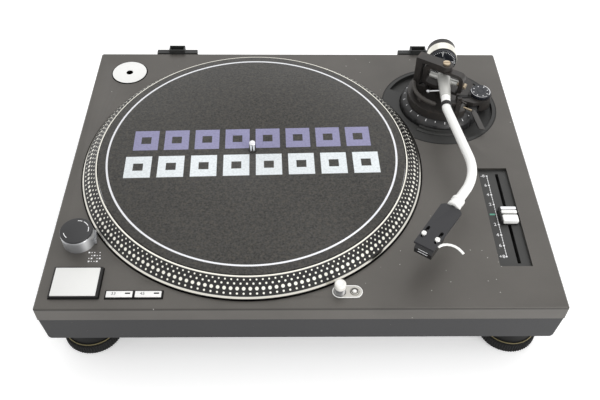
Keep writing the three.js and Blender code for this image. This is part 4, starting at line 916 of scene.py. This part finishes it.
class BuildFeet(TurntableOperator, bpy.types.Operator):
    """Makes the four knurled feet with their gold rings"""

    bl_idname = "turntable.build_feet"
    bl_label = "Feet"

    def build(self, sizes):
        """Builds each foot as a turned wheel with ribs."""
        for name in FEET:
            node = f"foot_{name}"
            radius, top = radius_of(node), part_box(node)[1][2] / MM
            wheel = [
                (0, 0), (radius - 2.4, 0), (radius - 0.9, 1.5), (radius - 0.9, 2.5), (radius - 0.9, 12.2),
                (radius - 1.6, 13), (25.6, 13.1), (25.6, 13.9), (25.2, 14.0), (24, 14.2), (24, top),
                (7.5, top), (7.5, 7), (0, 7),
            ]
            slots = [0, 0, 0, 0, 0, 0, 1, 1, 0, 0, 0, 0, 0, 0]
            ribs = knurl_mesh(radius, depth=1.5, bottom=1.9, top=12.6, count=72)
            turned_piece(
                node, f"wheel_{name}", centre_of(node), wheel, 96, "foot gold", slots, [ribs], ground=0.0,
            )


def knurl_mesh(radius, depth, bottom, top, count):
    """A ring of upright ribs around Z, in millimetres."""
    half = 0.55 * math.pi * radius / count
    rib = strip_mesh(-depth, 0, -half, half, bottom, top)
    outer = [edge for edge in rib.edges if all(point.co.x > -1e-9 for point in edge.verts)]
    round_edges(rib, outer, 0.3 * depth * MM, 1)
    moved(rib, Matrix.Translation((radius * MM, 0, 0)))
    ribs = [around(rib.copy(), 360 * i / count) for i in range(count)]
    rib.free()
    return gather(*ribs)


# Operators: drive

class BuildPlatter(TurntableOperator, bpy.types.Operator):
    """Makes the dotted platter, its mat and the spindle"""

    bl_idname = "turntable.build_platter"
    bl_label = "Platter and mat"

    def build(self, sizes):
        """Builds the platter, the mat that lies on it and the spindle."""
        platter = [
            (3.9, 2.3), (16, 2.3), (16, 5), (158, 5), (158, -6), (164.6, -6), (164.6, 2.2), (165.4, 2),
            (166, 2.4), (166, 2.9), (165.7, 3.2), (164.6, 4.1), (151.8, 14.6), (151.3, 14.95), (150.4, 15),
            (149.9, 14.9), (149.7, 14.6), (149.7, 13.4), (3.9, 13.4),
        ]
        # Slot 3 paints the rim's inner wall, down to the mat, near black as painted shade.
        slots = [0, 0, 0, 0, 0, 0, 0, 1, 1, 1, 1, 2, 1, 1, 3, 3, 3, 0, 0]
        turned_piece("platter", "turning_platter", SPINDLE, platter, 240, "platter polished dots dark", slots)
        radius = radius_of("slipmat")
        bottom, top = above_deck("slipmat")
        felt = [
            (3.9, bottom), (radius, bottom), (radius, top - 0.5), (radius - 0.5, top), (4.4, top),
            (3.9, top - 0.5),
        ]
        mat = turned_piece("slipmat", "mat", SPINDLE, felt, 160, "felt", angle=50)
        bottom, tip = above_deck("spindle")
        pin = [
            (0, bottom), (3.6, bottom), (3.6, -1.7), (8, -1.7), (8, 2.3), (3.6, 2.3), (3.6, tip - 3.4),
            (3.45, tip - 2.2), (3.0, tip - 1.1), (2.2, tip - 0.4), (1.2, tip - 0.05), (0, tip),
        ]
        turned_piece("spindle", "turning_platter", SPINDLE, pin, 48, "chrome", angle=40)


HIDDEN_FINISHES = {
    "bottom_cover": "plastic", "power_cord_gland": "plastic", "phono_cord_gland": "plastic",
    "motor_stator": "copper", "rotor_magnet": "iron", "bearing_housing": "steel", "circuit_board": "board",
    "power_transformer": "iron", "button_board": "board", "counterweight_bush": "steel",
    **{f"foot_stud_{name}": "steel" for name in FEET},
}


class BuildInside(TurntableOperator, bpy.types.Operator):
    """Gives the hidden solids their materials"""

    bl_idname = "turntable.build_inside"
    bl_label = "Inside"

    def build(self, sizes):
        """Sets one material on each hidden solid."""
        for node, name in HIDDEN_FINISHES.items():
            materials = NODES[node].data.materials
            materials.clear()
            materials.append(finish(name))


# Operators: controls

class BuildTower(TurntableOperator, bpy.types.Operator):
    """Makes the light tower with its power knob and its window"""

    bl_idname = "turntable.build_tower"
    bl_label = "Light tower"

    def build(self, sizes):
        """Builds the tower's shell, the knob with its printed arcs and the window."""
        radius, top = radius_of("strobe_housing"), above_deck("strobe_housing")[1]
        shell = [
            (3.3, 0), (radius, 0), (radius, top - 1.1), (radius - 0.2, top - 0.7), (radius - 0.5, top - 0.6),
            (14.1, top - 0.6), (14.1, 12), (3.3, 12),
        ]
        turned_piece("strobe_housing", "chassis", TOWER, shell, 96, "tower")
        knob = [
            (0, -11), (3, -11), (3, 12.3), (13.7, 12.3), (13.7, 13.2), (14.5, 13.25), (14.5, 14.3),
            (14.2, 14.8), (13.6, 15), (0, 15),
        ]
        arcs = ((198, 232), (-8, 20), (28, 62), (70, 92))
        marks = [(arc_mark(10.6, 11.3, start, end, 15.0), 1) for start, end in arcs]
        turned_piece("power_knob", "power", TOWER, knob, 96, "knob ink", extras=marks)
        refine("strobe_window", "chassis", "clear", sizes.fine_edge)


class BuildButtons(TurntableOperator, bpy.types.Operator):
    """Makes the start button, the two speed keys and the single adaptor"""

    bl_idname = "turntable.build_buttons"
    bl_label = "Buttons and adaptor"

    def build(self, sizes):
        """Builds the three buttons and the adaptor in its cup."""
        self.cap("start_button", "start", insets=(1.7, 2.2, 0.72, 1.68), rise=1.0, plate="start")
        for figures in ("33", "45"):
            self.cap(
                f"speed_button_{figures}", f"key_{figures}", insets=(0.95, 0.95, 0.57, 1.33), rise=0.8,
                plate="white", figures=figures,
            )
        bottom = above_deck("single_adaptor")[0]
        plug = [
            (3.6, bottom), (18.6, bottom), (19.05, bottom + 0.5), (19.05, 0.3), (18.75, 0.65), (18.4, 0.8),
            (4.2, 0.8), (3.9, 0.6), (3.6, 0.2), (3.6, -4.0),
        ]
        # Slot 1 paints the bore and the thin outer edge near black: painted shade of the hole and of the gap
        # around the cup.
        slots = [0, 0, 1, 1, 0, 0, 0, 0, 1, 1]
        turned_piece("single_adaptor", "adaptor", ADAPTOR, plug, 120, "plate dark", slots)

    def cap(self, node, body, insets, rise, plate, figures=""):
        """Builds one button: a dark cap on a stem with a pale plate, inset at left, right, front and rear."""
        left, right, front, rear = limits_of(node)
        low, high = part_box(node)
        base, top = DECK / MM - 7, high[2] / MM
        middle = centre_of(node)
        y = middle.y / MM
        block = strip_mesh(left, right, front, rear, base, top - rise, 0.35)
        pale = strip_mesh(
            left + insets[0], right - insets[1], front + insets[2], rear - insets[3], top - rise - 0.2, top,
            0.3,
        )
        stem = rod_mesh((middle.x, middle.y, low[2]), (middle.x, middle.y, (base + 1) * MM), 2.4 * MM)
        shapes = [(block, 0), (pale, 1), (stem, 0)]
        if figures:
            shapes.append((number_mesh(figures, 4.2, (left + 7.2, y - 0.1, top + 0.02)), 2))
            light = strip_mesh(right - 7.2, right - 2.8, y - 0.5, y + 0.9, top - 0.05, top + 0.05)
            shapes.append((light, 0))
        finished(node, gather(*shapes), body, f"plastic {plate} grey_ink", 40)


class BuildPitch(TurntableOperator, bpy.types.Operator):
    """Makes the pitch panel with its scale, and the fader"""

    bl_idname = "turntable.build_pitch"
    bl_label = "Pitch fader"

    def build(self, sizes):
        """Builds the sunk panel, the printed scale and the fader."""
        refine("pitch_panel", "chassis", "panel", TINY_EDGE)
        self.scale()
        self.fader()

    def scale(self):
        """Prints the line, the dots, the figures and the green zero mark."""
        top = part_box("pitch_panel")[1][2] / MM
        x, half = 184.5, 50.2
        zero = centre_of("pitch_panel").y / MM + 2.4
        last = 32
        labels = ("-8", "6", "4", "2", "0", "2", "4", "6", "+8")
        marks = [(strip_mesh(x - 0.2, x + 0.2, zero - half, zero + half, top - 0.05, top + 0.03), 0)]
        for i in range(last + 1):
            y = zero + half - 2 * half * i / last
            wide = i % 4 == 0 and i != last // 2
            size = 0.95 if wide else 0.45
            dot = strip_mesh(
                x - size, x + size * 0.7, y - size * 0.85, y + size * 0.85, top - 0.05, top + 0.04,
            )
            marks.append((dot, 0))
            if wide:
                label = labels[i // 4]
                aside = 4.2 if len(label) > 1 else 3.4
                marks.append((number_mesh(label, 5.2, (x - aside, y, top + 0.03)), 0))
        marks.append((strip_mesh(x - 6.2, x - 1.2, zero - 0.95, zero + 0.95, top - 0.05, top + 0.05), 1))
        place_piece("pitch_scale", gather(*marks), "chassis", "ink green_ink")

    def fader(self):
        """Builds the fader: three bright steps, a dark side and its stem."""
        left, right, front, rear = limits_of("pitch_fader")
        low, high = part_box("pitch_fader")
        base, crown = DECK / MM - 2.4, high[2] / MM
        x, y, _ = centre_of("pitch_fader") / MM
        finished("pitch_fader", gather(
            (strip_mesh(left + 1.9, right, front, front + 8.8, base, crown, 1.6), 2),
            (strip_mesh(left + 1.9, right, front + 10.5, front + 14.2, base, crown - 0.1, 1.1), 2),
            (strip_mesh(left + 1.9, right, front + 14.9, rear, base, crown - 0.2, 1.0), 0),
            (strip_mesh(left, left + 2.1, front + 0.6, rear - 0.2, base, crown - 1.0, 0.7), 1),
            (strip_mesh(left + 1, right - 0.4, front + 0.5, rear - 0.5, base, crown - 1.9, 0.3), 1),
            (strip_mesh(x - 1.1, x + 1.1, y - 4, y + 4, low[2] / MM, base + 1), 1),
        ), "fader", "chrome plastic tube", 40)


class BuildLamp(TurntableOperator, bpy.types.Operator):
    """Makes the pop-up lamp, its plate and its catch"""

    bl_idname = "turntable.build_lamp"
    bl_label = "Pop-up lamp"

    def build(self, sizes):
        """Builds the plate with its bead, the lamp and its catch."""
        refine("lamp_plate", "chassis", "lamp_plate", sizes.fine_edge)
        self.plate_rim()
        bottom, top = above_deck("target_lamp")
        shell = [
            (0, bottom), (5, bottom), (5, top - 5.6), (5, top - 1.6), (4.8, top - 0.9), (4.2, top - 0.3),
            (3.6, top), (3.2, top), (3.0, top - 0.3), (0, top - 0.25),
        ]
        # Slot 2 gives the lower barrel the drawn metal with its painted highlights.
        slots = [0, 2, 0, 0, 0, 0, 0, 0, 1, 0]
        turned_piece("target_lamp", "lamp", LAMP, shell, 48, "lamp_metal white sleeve", slots)
        bottom, top = above_deck("lamp_button")
        catch = [
            (0, bottom), (3.7, bottom), (3.7, top - 0.5), (3.5, top - 0.15), (3.1, top), (2.6, top - 0.5),
            (2.2, top - 0.5), (1.4, top - 0.1), (0, top),
        ]
        # Slot 1 paints the groove round the dome dark grey as painted shade.
        slots = [0, 0, 0, 0, 1, 1, 0, 2, 2]
        turned_piece("lamp_button", "lamp_catch", LAMP_BUTTON, catch, 40, "lamp_plate paddle tube", slots)

    def plate_rim(self):
        """Builds the raised bead that runs around the lamp's plate."""
        low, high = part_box("lamp_plate")
        bead = 0.45 * MM
        radius = (high[1] - low[1]) / 2 - bead
        middle = (low[1] + high[1]) / 2
        line = []
        for centre, start in ((high[0] - bead - radius, -90), (low[0] + bead + radius, 90)):
            for x, y in arc_points(radius, start, start + 180, 16):
                line.append(Vector((centre + x, middle + y, high[2] - bead / 3)))
        line.append(line[0])
        place_piece("lamp_plate_rim", swept_mesh(line, bead, 12), "chassis", "tube", angle=60)


# Operators: tonearm base

CUE_DEGREES = -38.0


class BuildArmBase(TurntableOperator, bpy.types.Operator):
    """Finishes the dish, the height ring, the drum and what they carry"""

    bl_idname = "turntable.build_arm_base"
    bl_label = "Tonearm base"

    def build(self, sizes):
        """Builds the dish, the ring, the drum, the bracket, the levers and the anti-skate knob."""
        refine("tonearm_dish", "chassis", "dish", sizes.soft_edge)
        self.height_ring()
        refine("tonearm_base", "arm_stand", "worn", sizes.fine_edge)
        refine("pivot_bracket", "arm_stand", "worn", sizes.soft_edge)
        refine("top_pivot_screw", "arm_stand", "brass", SMALL_EDGE)
        self.cue_lever()
        refine("lift_bar", "lifter", "bar", SMALL_EDGE, 50)
        refine("arm_rest_clip", "clip", "plastic", SMALL_EDGE)
        self.skate_knob()

    def skate_knob(self):
        """Builds the anti-skate knob with its ring of marks."""
        bottom, top = above_deck("anti_skate_knob")
        base = top - 3.6
        knob = [
            (0, bottom), (3.2, bottom), (3.2, base), (10.6, base), (11, base + 0.4), (11, top - 0.8),
            (10.7, top - 0.3), (10.2, top), (9.9, top), (9.8, top - 0.1), (4.1, top - 0.1), (3.9, top - 0.35),
            (3.3, top - 0.35), (3.1, top - 0.1), (0, top - 0.1),
        ]
        slots = [0, 0, 1, 1, 0, 0, 0, 0, 0, 0, 0, 0, 0, 0, 0]
        marks = [(arc_mark(9.5, 10.2, -40, 62, top), 2), (arc_mark(9.75, 10.15, 160, 305, top), 2)]
        for i in range(8):
            mark = strip_mesh(6.9, 8.6 if i % 2 else 8.3, -0.42, 0.42, top - 0.15, top - 0.04)
            marks.append((around(mark, 45 * i + 10), 2))
        turned_piece("anti_skate_knob", "skate_dial", SKATE, knob, 72, "dial steel ink", slots, marks)

    def cue_lever(self):
        """Builds the lever: a pin and barrel, a thin shaft and a flat paddle with a slanted end."""
        centre = Vector((PIVOT.x, PIVOT.y, DECK))
        angle = math.radians(CUE_DEGREES)
        hub = centre + Vector((26 * math.cos(angle), 26 * math.sin(angle), 11.4)) * MM
        across = Vector((math.sin(angle), -math.cos(angle), 0)) * MM
        elbow = centre + Vector((31.1, -24.3, 12.4)) * MM
        end = centre + Vector((38.8, -45.0, 4.6)) * MM
        along = end - elbow
        outline = [(-1.6, -1.2), (2.2, -2.9), (21.2, -3.1), (24.2, 2.7), (3.8, 3.0), (-1.6, 1.2)]
        paddle = slab_mesh(outline, -0.9, 0.9, 0.3)
        dip = Matrix.Rotation(math.asin(-along.z / along.length), 4, "Y")
        heading = Matrix.Rotation(math.atan2(along.y, along.x), 4, "Z")
        finished("cue_lever", gather(
            (rod_mesh(hub - across * 6.3, hub + across * 6.3, 1.2 * MM, 20), 1),
            (rod_mesh(hub - across * 3.5, hub + across * 3.5, 2.4 * MM, 28, 0.3 * MM), 0),
            (rod_mesh(hub, elbow, 1.1 * MM, 20), 1),
            (ball_mesh(elbow, 1.7 * MM), 0),
            (moved(paddle, Matrix.Translation(elbow) @ heading @ dip), 0),
        ), "cue", "paddle brass")

    def height_ring(self):
        """Builds the ring with its grips and the scale on its slope."""
        middle, height, slope = 38.2 * MM, 8.15 * MM, math.radians(34.5)
        tilt = Matrix.Translation((middle, 0, height)) @ Matrix.Rotation(slope, 4, "Y")
        tilt = tilt @ Matrix.Translation((-middle, 0, 0))
        marks = []
        for i in range(24):
            mark = strip_mesh(37.0, 38.4 if i % 2 else 39.5, -0.3, 0.3, -0.06, 0.06)
            mark = around(moved(mark, tilt), 15 * i - 180)
            marks.append((moved(mark, at(PIVOT)), 1))
        finished("height_ring", gather((solid_copy("height_ring"), 0), *marks), "height_wheel", "ring ink")


# Operators: tonearm

ARM_DEGREES = 4.7
HEAD_DEGREES = 35.0
BEARING_DEGREES = -32.0
SHELL_START = 12.8

# Each bend of the tube: its turn in degrees, its radius and the straight run after it, in millimetres
TUBE_BENDS = ((-13.8, 15.0, 67.63), (44.1, 60.0, 13.33))


def heading_of(degrees):
    """The level direction at an angle from straight ahead."""
    angle = math.radians(degrees)
    return Vector((-math.sin(angle), -math.cos(angle), 0))


FORWARD = heading_of(ARM_DEGREES)
SIDE = Vector((FORWARD.y, -FORWARD.x, 0))
HEAD_LINE = heading_of(HEAD_DEGREES)
HEAD_SIDE = Vector((-HEAD_LINE.y, HEAD_LINE.x, 0))
ARM_CENTRE = Vector((PIVOT.x, PIVOT.y, ARM_HEIGHT))
BEARING = Vector((math.cos(math.radians(BEARING_DEGREES)), math.sin(math.radians(BEARING_DEGREES)), 0))


def arm_point(ahead, side=0.0, up=0.0):
    """A place on the arm's line, in millimetres from the pivot."""
    return ARM_CENTRE + (FORWARD * ahead + SIDE * side + Vector((0, 0, up))) * MM


def along_arm(shape):
    """A shape turned about Z, laid so that its top faces the arm's front."""
    return moved(shape, Matrix.Translation(ARM_CENTRE) @ turned_to(FORWARD))


def tube_line():
    """Points along the tube: a bend to the right, a straight run, a bend to the left and a last run."""
    points = [arm_point(41.8), arm_point(45.0)]
    degrees = ARM_DEGREES
    for turn, radius, straight in TUBE_BENDS:
        steps = max(6, round(abs(turn) / 2.5))
        half = turn / steps / 2
        chord = 2 * radius * math.sin(math.radians(abs(half)))
        for _ in range(steps):
            points.append(points[-1] + heading_of(degrees + half) * chord * MM)
            degrees += 2 * half
        for _ in range(4):
            points.append(points[-1] + heading_of(degrees) * straight / 4 * MM)
    return points


def head_point(start, ahead, out, z):
    """A place on the headshell at a height, in millimetres from its front and from the tube's end."""
    place = start + (HEAD_LINE * (ahead + SHELL_START) + HEAD_SIDE * out) * MM
    return Vector((place.x, place.y, z))


class BuildArm(TurntableOperator, bpy.types.Operator):
    """Makes the gimbal, the arm body, the S shaped tube and the locking collar"""

    bl_idname = "turntable.build_arm"
    bl_label = "Tonearm"

    def build(self, sizes):
        """Builds the gimbal, the arm body, the tube and the collar."""
        refine("gimbal_ring", "yoke", "worn", sizes.soft_edge)
        refine("side_pivot_screw", "yoke", "brass", SMALL_EDGE)
        cone = [(0, -6), (6.2, -6), (6.8, -5.2), (6.8, -1), (5.2, 30.3), (4.9, 30.6), (0, 30.7)]
        sleeve = [(0, 30), (4.7, 30), (4.7, 41.5), (0, 41.5)]
        band = [(4.7, 40), (5.1, 40), (5.4, 40.4), (5.4, 44.6), (5.1, 45), (4.7, 45)]
        tail = [(0, -62), (3.1, -62), (3.6, -61.4), (3.6, -6), (0, -6)]
        bearing = BEARING * 15.5 * MM
        pin_end = arm_point(19, 16.9, -2.4)
        finished("arm_housing", gather(
            (along_arm(profile_mesh(cone, 48)), 0),
            (along_arm(profile_mesh(sleeve, 48)), 3),
            (along_arm(profile_mesh(band, 48)), 1),
            (along_arm(profile_mesh(tail, 32)), 2),
            (rod_mesh(ARM_CENTRE - bearing, ARM_CENTRE + bearing, 3 * MM, 32, 0.4 * MM), 0),
            (rod_mesh(arm_point(19), pin_end, 0.9 * MM, 16), 2),
            (ball_mesh(pin_end, 1.9 * MM), 2),
        ), "arm", "pearl plastic silver tube")
        points = tube_line()
        finished("arm_tube", swept_mesh(points, 4.5 * MM, 32), "arm", "tube", 40)
        collar = [
            (3.2, 12.2), (5.2, 12.2), (6.1, 11.6), (6.1, 8.2), (5.5, 7.9), (5.5, 4.2), (6.1, 3.9), (6.1, 0.9),
            (5.5, 0.3), (0, 0.3), (0, 4.2), (3.2, 4.2),
        ]
        to_head = Matrix.Translation(points[-1]) @ turned_to(HEAD_LINE)
        finished("headshell_collar", moved(profile_mesh(collar, 48), to_head), "collar", "tube", 30)


class BuildHeadshell(TurntableOperator, bpy.types.Operator):
    """Finishes the headshell, the cartridge, the stylus and the finger lift"""

    bl_idname = "turntable.build_headshell"
    bl_label = "Headshell"

    def build(self, sizes):
        """Builds the headshell and all that it carries."""
        refine("headshell", "head", "shell", sizes.fine_edge)
        start = tube_line()[-1]
        self.cartridge(start)
        refine("stylus", "head", "plastic", TINY_EDGE)
        self.finger_lift(start)
        for side in SIDES:
            refine(f"cartridge_screw_{side}", "head", "tube", SMALL_EDGE)

    def cartridge(self, start):
        """Adds two bright lines on the cartridge's front."""
        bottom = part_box("cartridge")[0][2]
        shapes = [(solid_copy("cartridge"), 0)]
        for height in (4.2, 7.2):
            ends = [head_point(start, 53.94, out, bottom + height * MM) for out in (-4.6, 4.6)]
            shapes.append((rod_mesh(*ends, 0.3 * MM, 12), 1))
        finished("cartridge", gather(*shapes), "head", "gloss chrome", 35, 0.3 * MM)

    def finger_lift(self, start):
        """Bends the thin lift out from the headshell's side."""
        level = centre_of("finger_lift").z
        places = (
            (46.8, 9.9), (44.4, 10.6), (41.9, 12.2), (39.9, 14.8), (38.5, 18.0), (38.0, 21.5), (38.5, 25.0),
            (39.7, 28.2), (41.0, 30.6),
        )
        bar = swept_mesh([head_point(start, ahead, out, level) for ahead, out in places], 1.3 * MM, 16)
        flat = Matrix.Diagonal((1, 1, 0.42, 1))
        flat = Matrix.Translation((0, 0, level)) @ flat @ Matrix.Translation((0, 0, -level))
        finished("finger_lift", moved(bar, flat), "head", "tube", 40)


class BuildCounterweight(TurntableOperator, bpy.types.Operator):
    """Makes the counterweight and its force dial"""

    bl_idname = "turntable.build_counterweight"
    bl_label = "Counterweight"

    def build(self, sizes):
        """Builds the weight, and the dial with its marks and figures."""
        weight = [
            (6.2, -31.6), (15.4, -31.6), (15.7, -31.9), (15.7, -41.6), (15.4, -42.0), (15.1, -42.2),
            (15.1, -49.2), (14.0, -50.4), (6.2, -50.4),
        ]
        turned = profile_mesh(weight, 96, [1, 0, 0, 0, 1, 1, 1, 1, 1])
        finished("counterweight", along_arm(turned), "weight", "cream worn", 30)
        dial = [
            (4.2, -28.1), (13.6, -28.1), (14.4, -28.5), (14.6, -29.0), (14.6, -31.1), (14.4, -31.3),
            (4.2, -31.3),
        ]
        marks = []
        for i in range(40):
            inner, half = (12.0, 0.25) if i % 10 else (9.6, 0.4)
            marks.append((around(strip_mesh(inner, 13.5, -half, half, -28.12, -28.05), 9 * i), 1))
        for i, figure in enumerate("0123"):
            marks.append((around(number_mesh(figure, 4.4, (0, 8.8, -28.08)), 90 - 90 * i), 1))
        shape = along_arm(gather(profile_mesh(dial, 72), *marks))
        finished("stylus_force_dial", shape, "force_dial", "dial ink", 30)


# Stage

WORLD_LIGHT = 0.82
FLOOR_GLOW = 0.38
FLOOR_HALF = 4.0
SENSOR_WIDTH = 36.0
FOCAL_PIXELS = 740.5736
PHOTO_PIXELS = 600.0
CAMERA_PLACE = (-0.0120023, -0.5290203, 0.6077619)
CAMERA_PITCH = 0.8369
CAMERA_YAW = -0.0235
CAMERA_ROLL = 0.0166
WHITE = (1.0, 1.0, 1.0, 1.0)


class BuildStage(TurntableOperator, bpy.types.Operator):
    """Sets the floor, the backdrop, the lights and the camera"""

    bl_idname = "turntable.build_stage"
    bl_label = "Stage"

    def build(self, sizes):
        """Builds the floor, the studio, two lamps and the camera."""
        shape = bmesh.new()
        bmesh.ops.create_grid(shape, x_segments=1, y_segments=1, size=FLOOR_HALF)
        mesh = bpy.data.meshes.new("floor")
        shape.to_mesh(mesh)
        shape.free()
        mesh.materials.append(self.floor_material())
        floor = self.stand("floor", mesh)
        self.world()
        self.lamp("Key light", (0.5, 1.1, 1.9), target=(0.05, 0.0, 0.05), size=2.8, power=12.7)
        self.lamp("Front light", (0.8, -0.8, 0.22), target=(0.2, -0.17, 0.06), size=0.6, power=5.6)
        self.camera()
        bpy.context.scene.view_settings.view_transform = "Standard"

    def stand(self, name, data):
        """Puts a new object in the scene."""
        item = bpy.data.objects.new(name, data)
        bpy.context.scene.collection.objects.link(item)
        return item

    def camera(self):
        """Sets the camera that was fitted to the photograph."""
        data = bpy.data.cameras.new("Camera")
        data.sensor_width = SENSOR_WIDTH
        data.lens = FOCAL_PIXELS * SENSOR_WIDTH / PHOTO_PIXELS
        data.clip_start = 0.01
        camera = self.stand("Camera", data)
        yaw = Matrix.Rotation(CAMERA_YAW, 4, "Z")
        pitch = Matrix.Rotation(math.pi / 2 - CAMERA_PITCH, 4, "X")
        roll = Matrix.Rotation(CAMERA_ROLL, 4, "Z")
        camera.matrix_world = Matrix.Translation(CAMERA_PLACE) @ yaw @ pitch @ roll
        bpy.context.scene.camera = camera

    def lamp(self, name, place, target, size, power):
        """Adds one soft square lamp."""
        data = bpy.data.lights.new(name, "AREA")
        data.size = size
        data.energy = power
        lamp = self.stand(name, data)
        lamp.location = place
        lamp.rotation_euler = (Vector(target) - Vector(place)).to_track_quat("-Z", "Y").to_euler()

    def world(self):
        """A white studio: even soft light on the pieces, and plain white where it is seen or mirrored."""
        world = bpy.data.worlds.new("Studio")
        bpy.context.scene.world = world
        world.use_nodes = True
        inputs = world.node_tree.nodes["Background"].inputs
        inputs[0].default_value = WHITE
        level = seen_directly(world.node_tree) * (1.0 - WORLD_LIGHT) + WORLD_LIGHT
        feed(world.node_tree, inputs[1], level)

    def floor_material(self):
        """A white floor that keeps the object's shadow."""
        material, inputs, place = start_material("Pale floor", roughness=0.7, metallic=0.0)
        inputs["Emission Color"].default_value = WHITE
        feed(place.tree, inputs["Emission Strength"], seen_directly(place.tree) * FLOOR_GLOW)
        return close_material(material, inputs, grain(place, (0.9, 0.9, 0.9), fine=0.01, mottle=0.01)[0])


def seen_directly(tree):
    """1 for what the camera sees, also in a mirror or through glass, and 0 for light on the pieces."""
    rays = {value.socket.name: value for value in add_node(tree, "ShaderNodeLightPath")}
    mirrored = rays["Is Glossy Ray"].sum("MAXIMUM", rays["Is Transmission Ray"])
    return rays["Is Camera Ray"].sum("MAXIMUM", mirrored)


OPERATORS = (
    BuildChassis, BuildFeet, BuildPlatter, BuildInside, BuildTower, BuildButtons, BuildPitch, BuildLamp,
    BuildArmBase, BuildArm, BuildHeadshell, BuildCounterweight, BuildStage,
)


class TurntablePanel(bpy.types.Panel):
    """Lists the pieces of the turntable"""

    bl_idname = "VIEW3D_PT_turntable"
    bl_label = "Turntable"
    bl_space_type = "VIEW_3D"
    bl_region_type = "UI"
    bl_category = "Turntable"

    def draw(self, context):
        """Draws the sizes, the colours and the buttons."""
        for values in (context.scene.turntable_sizes, context.scene.turntable_colours):
            for name in values.bl_rna.properties.keys():
                if name not in {"rna_type", "name"}:
                    self.layout.prop(values, name)
        for operator in OPERATORS:
            self.layout.operator(operator.bl_idname)


CLASSES = (TurntableSizes, TurntableColours, *OPERATORS, TurntablePanel)


def register():
    """Registers the classes and their settings."""
    for item in CLASSES:
        bpy.utils.register_class(item)
    bpy.types.Scene.turntable_sizes = PointerProperty(type=TurntableSizes)
    bpy.types.Scene.turntable_colours = PointerProperty(type=TurntableColours)


def unregister():
    """Removes the classes and their settings."""
    del bpy.types.Scene.turntable_colours
    del bpy.types.Scene.turntable_sizes
    for item in reversed(CLASSES):
        bpy.utils.unregister_class(item)


def main():
    """Builds the whole turntable."""
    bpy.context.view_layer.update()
    register()
    for operator in OPERATORS:
        group, name = operator.bl_idname.split(".")
        getattr(getattr(bpy.ops, group), name)()


if __name__ == "__main__":
    main()
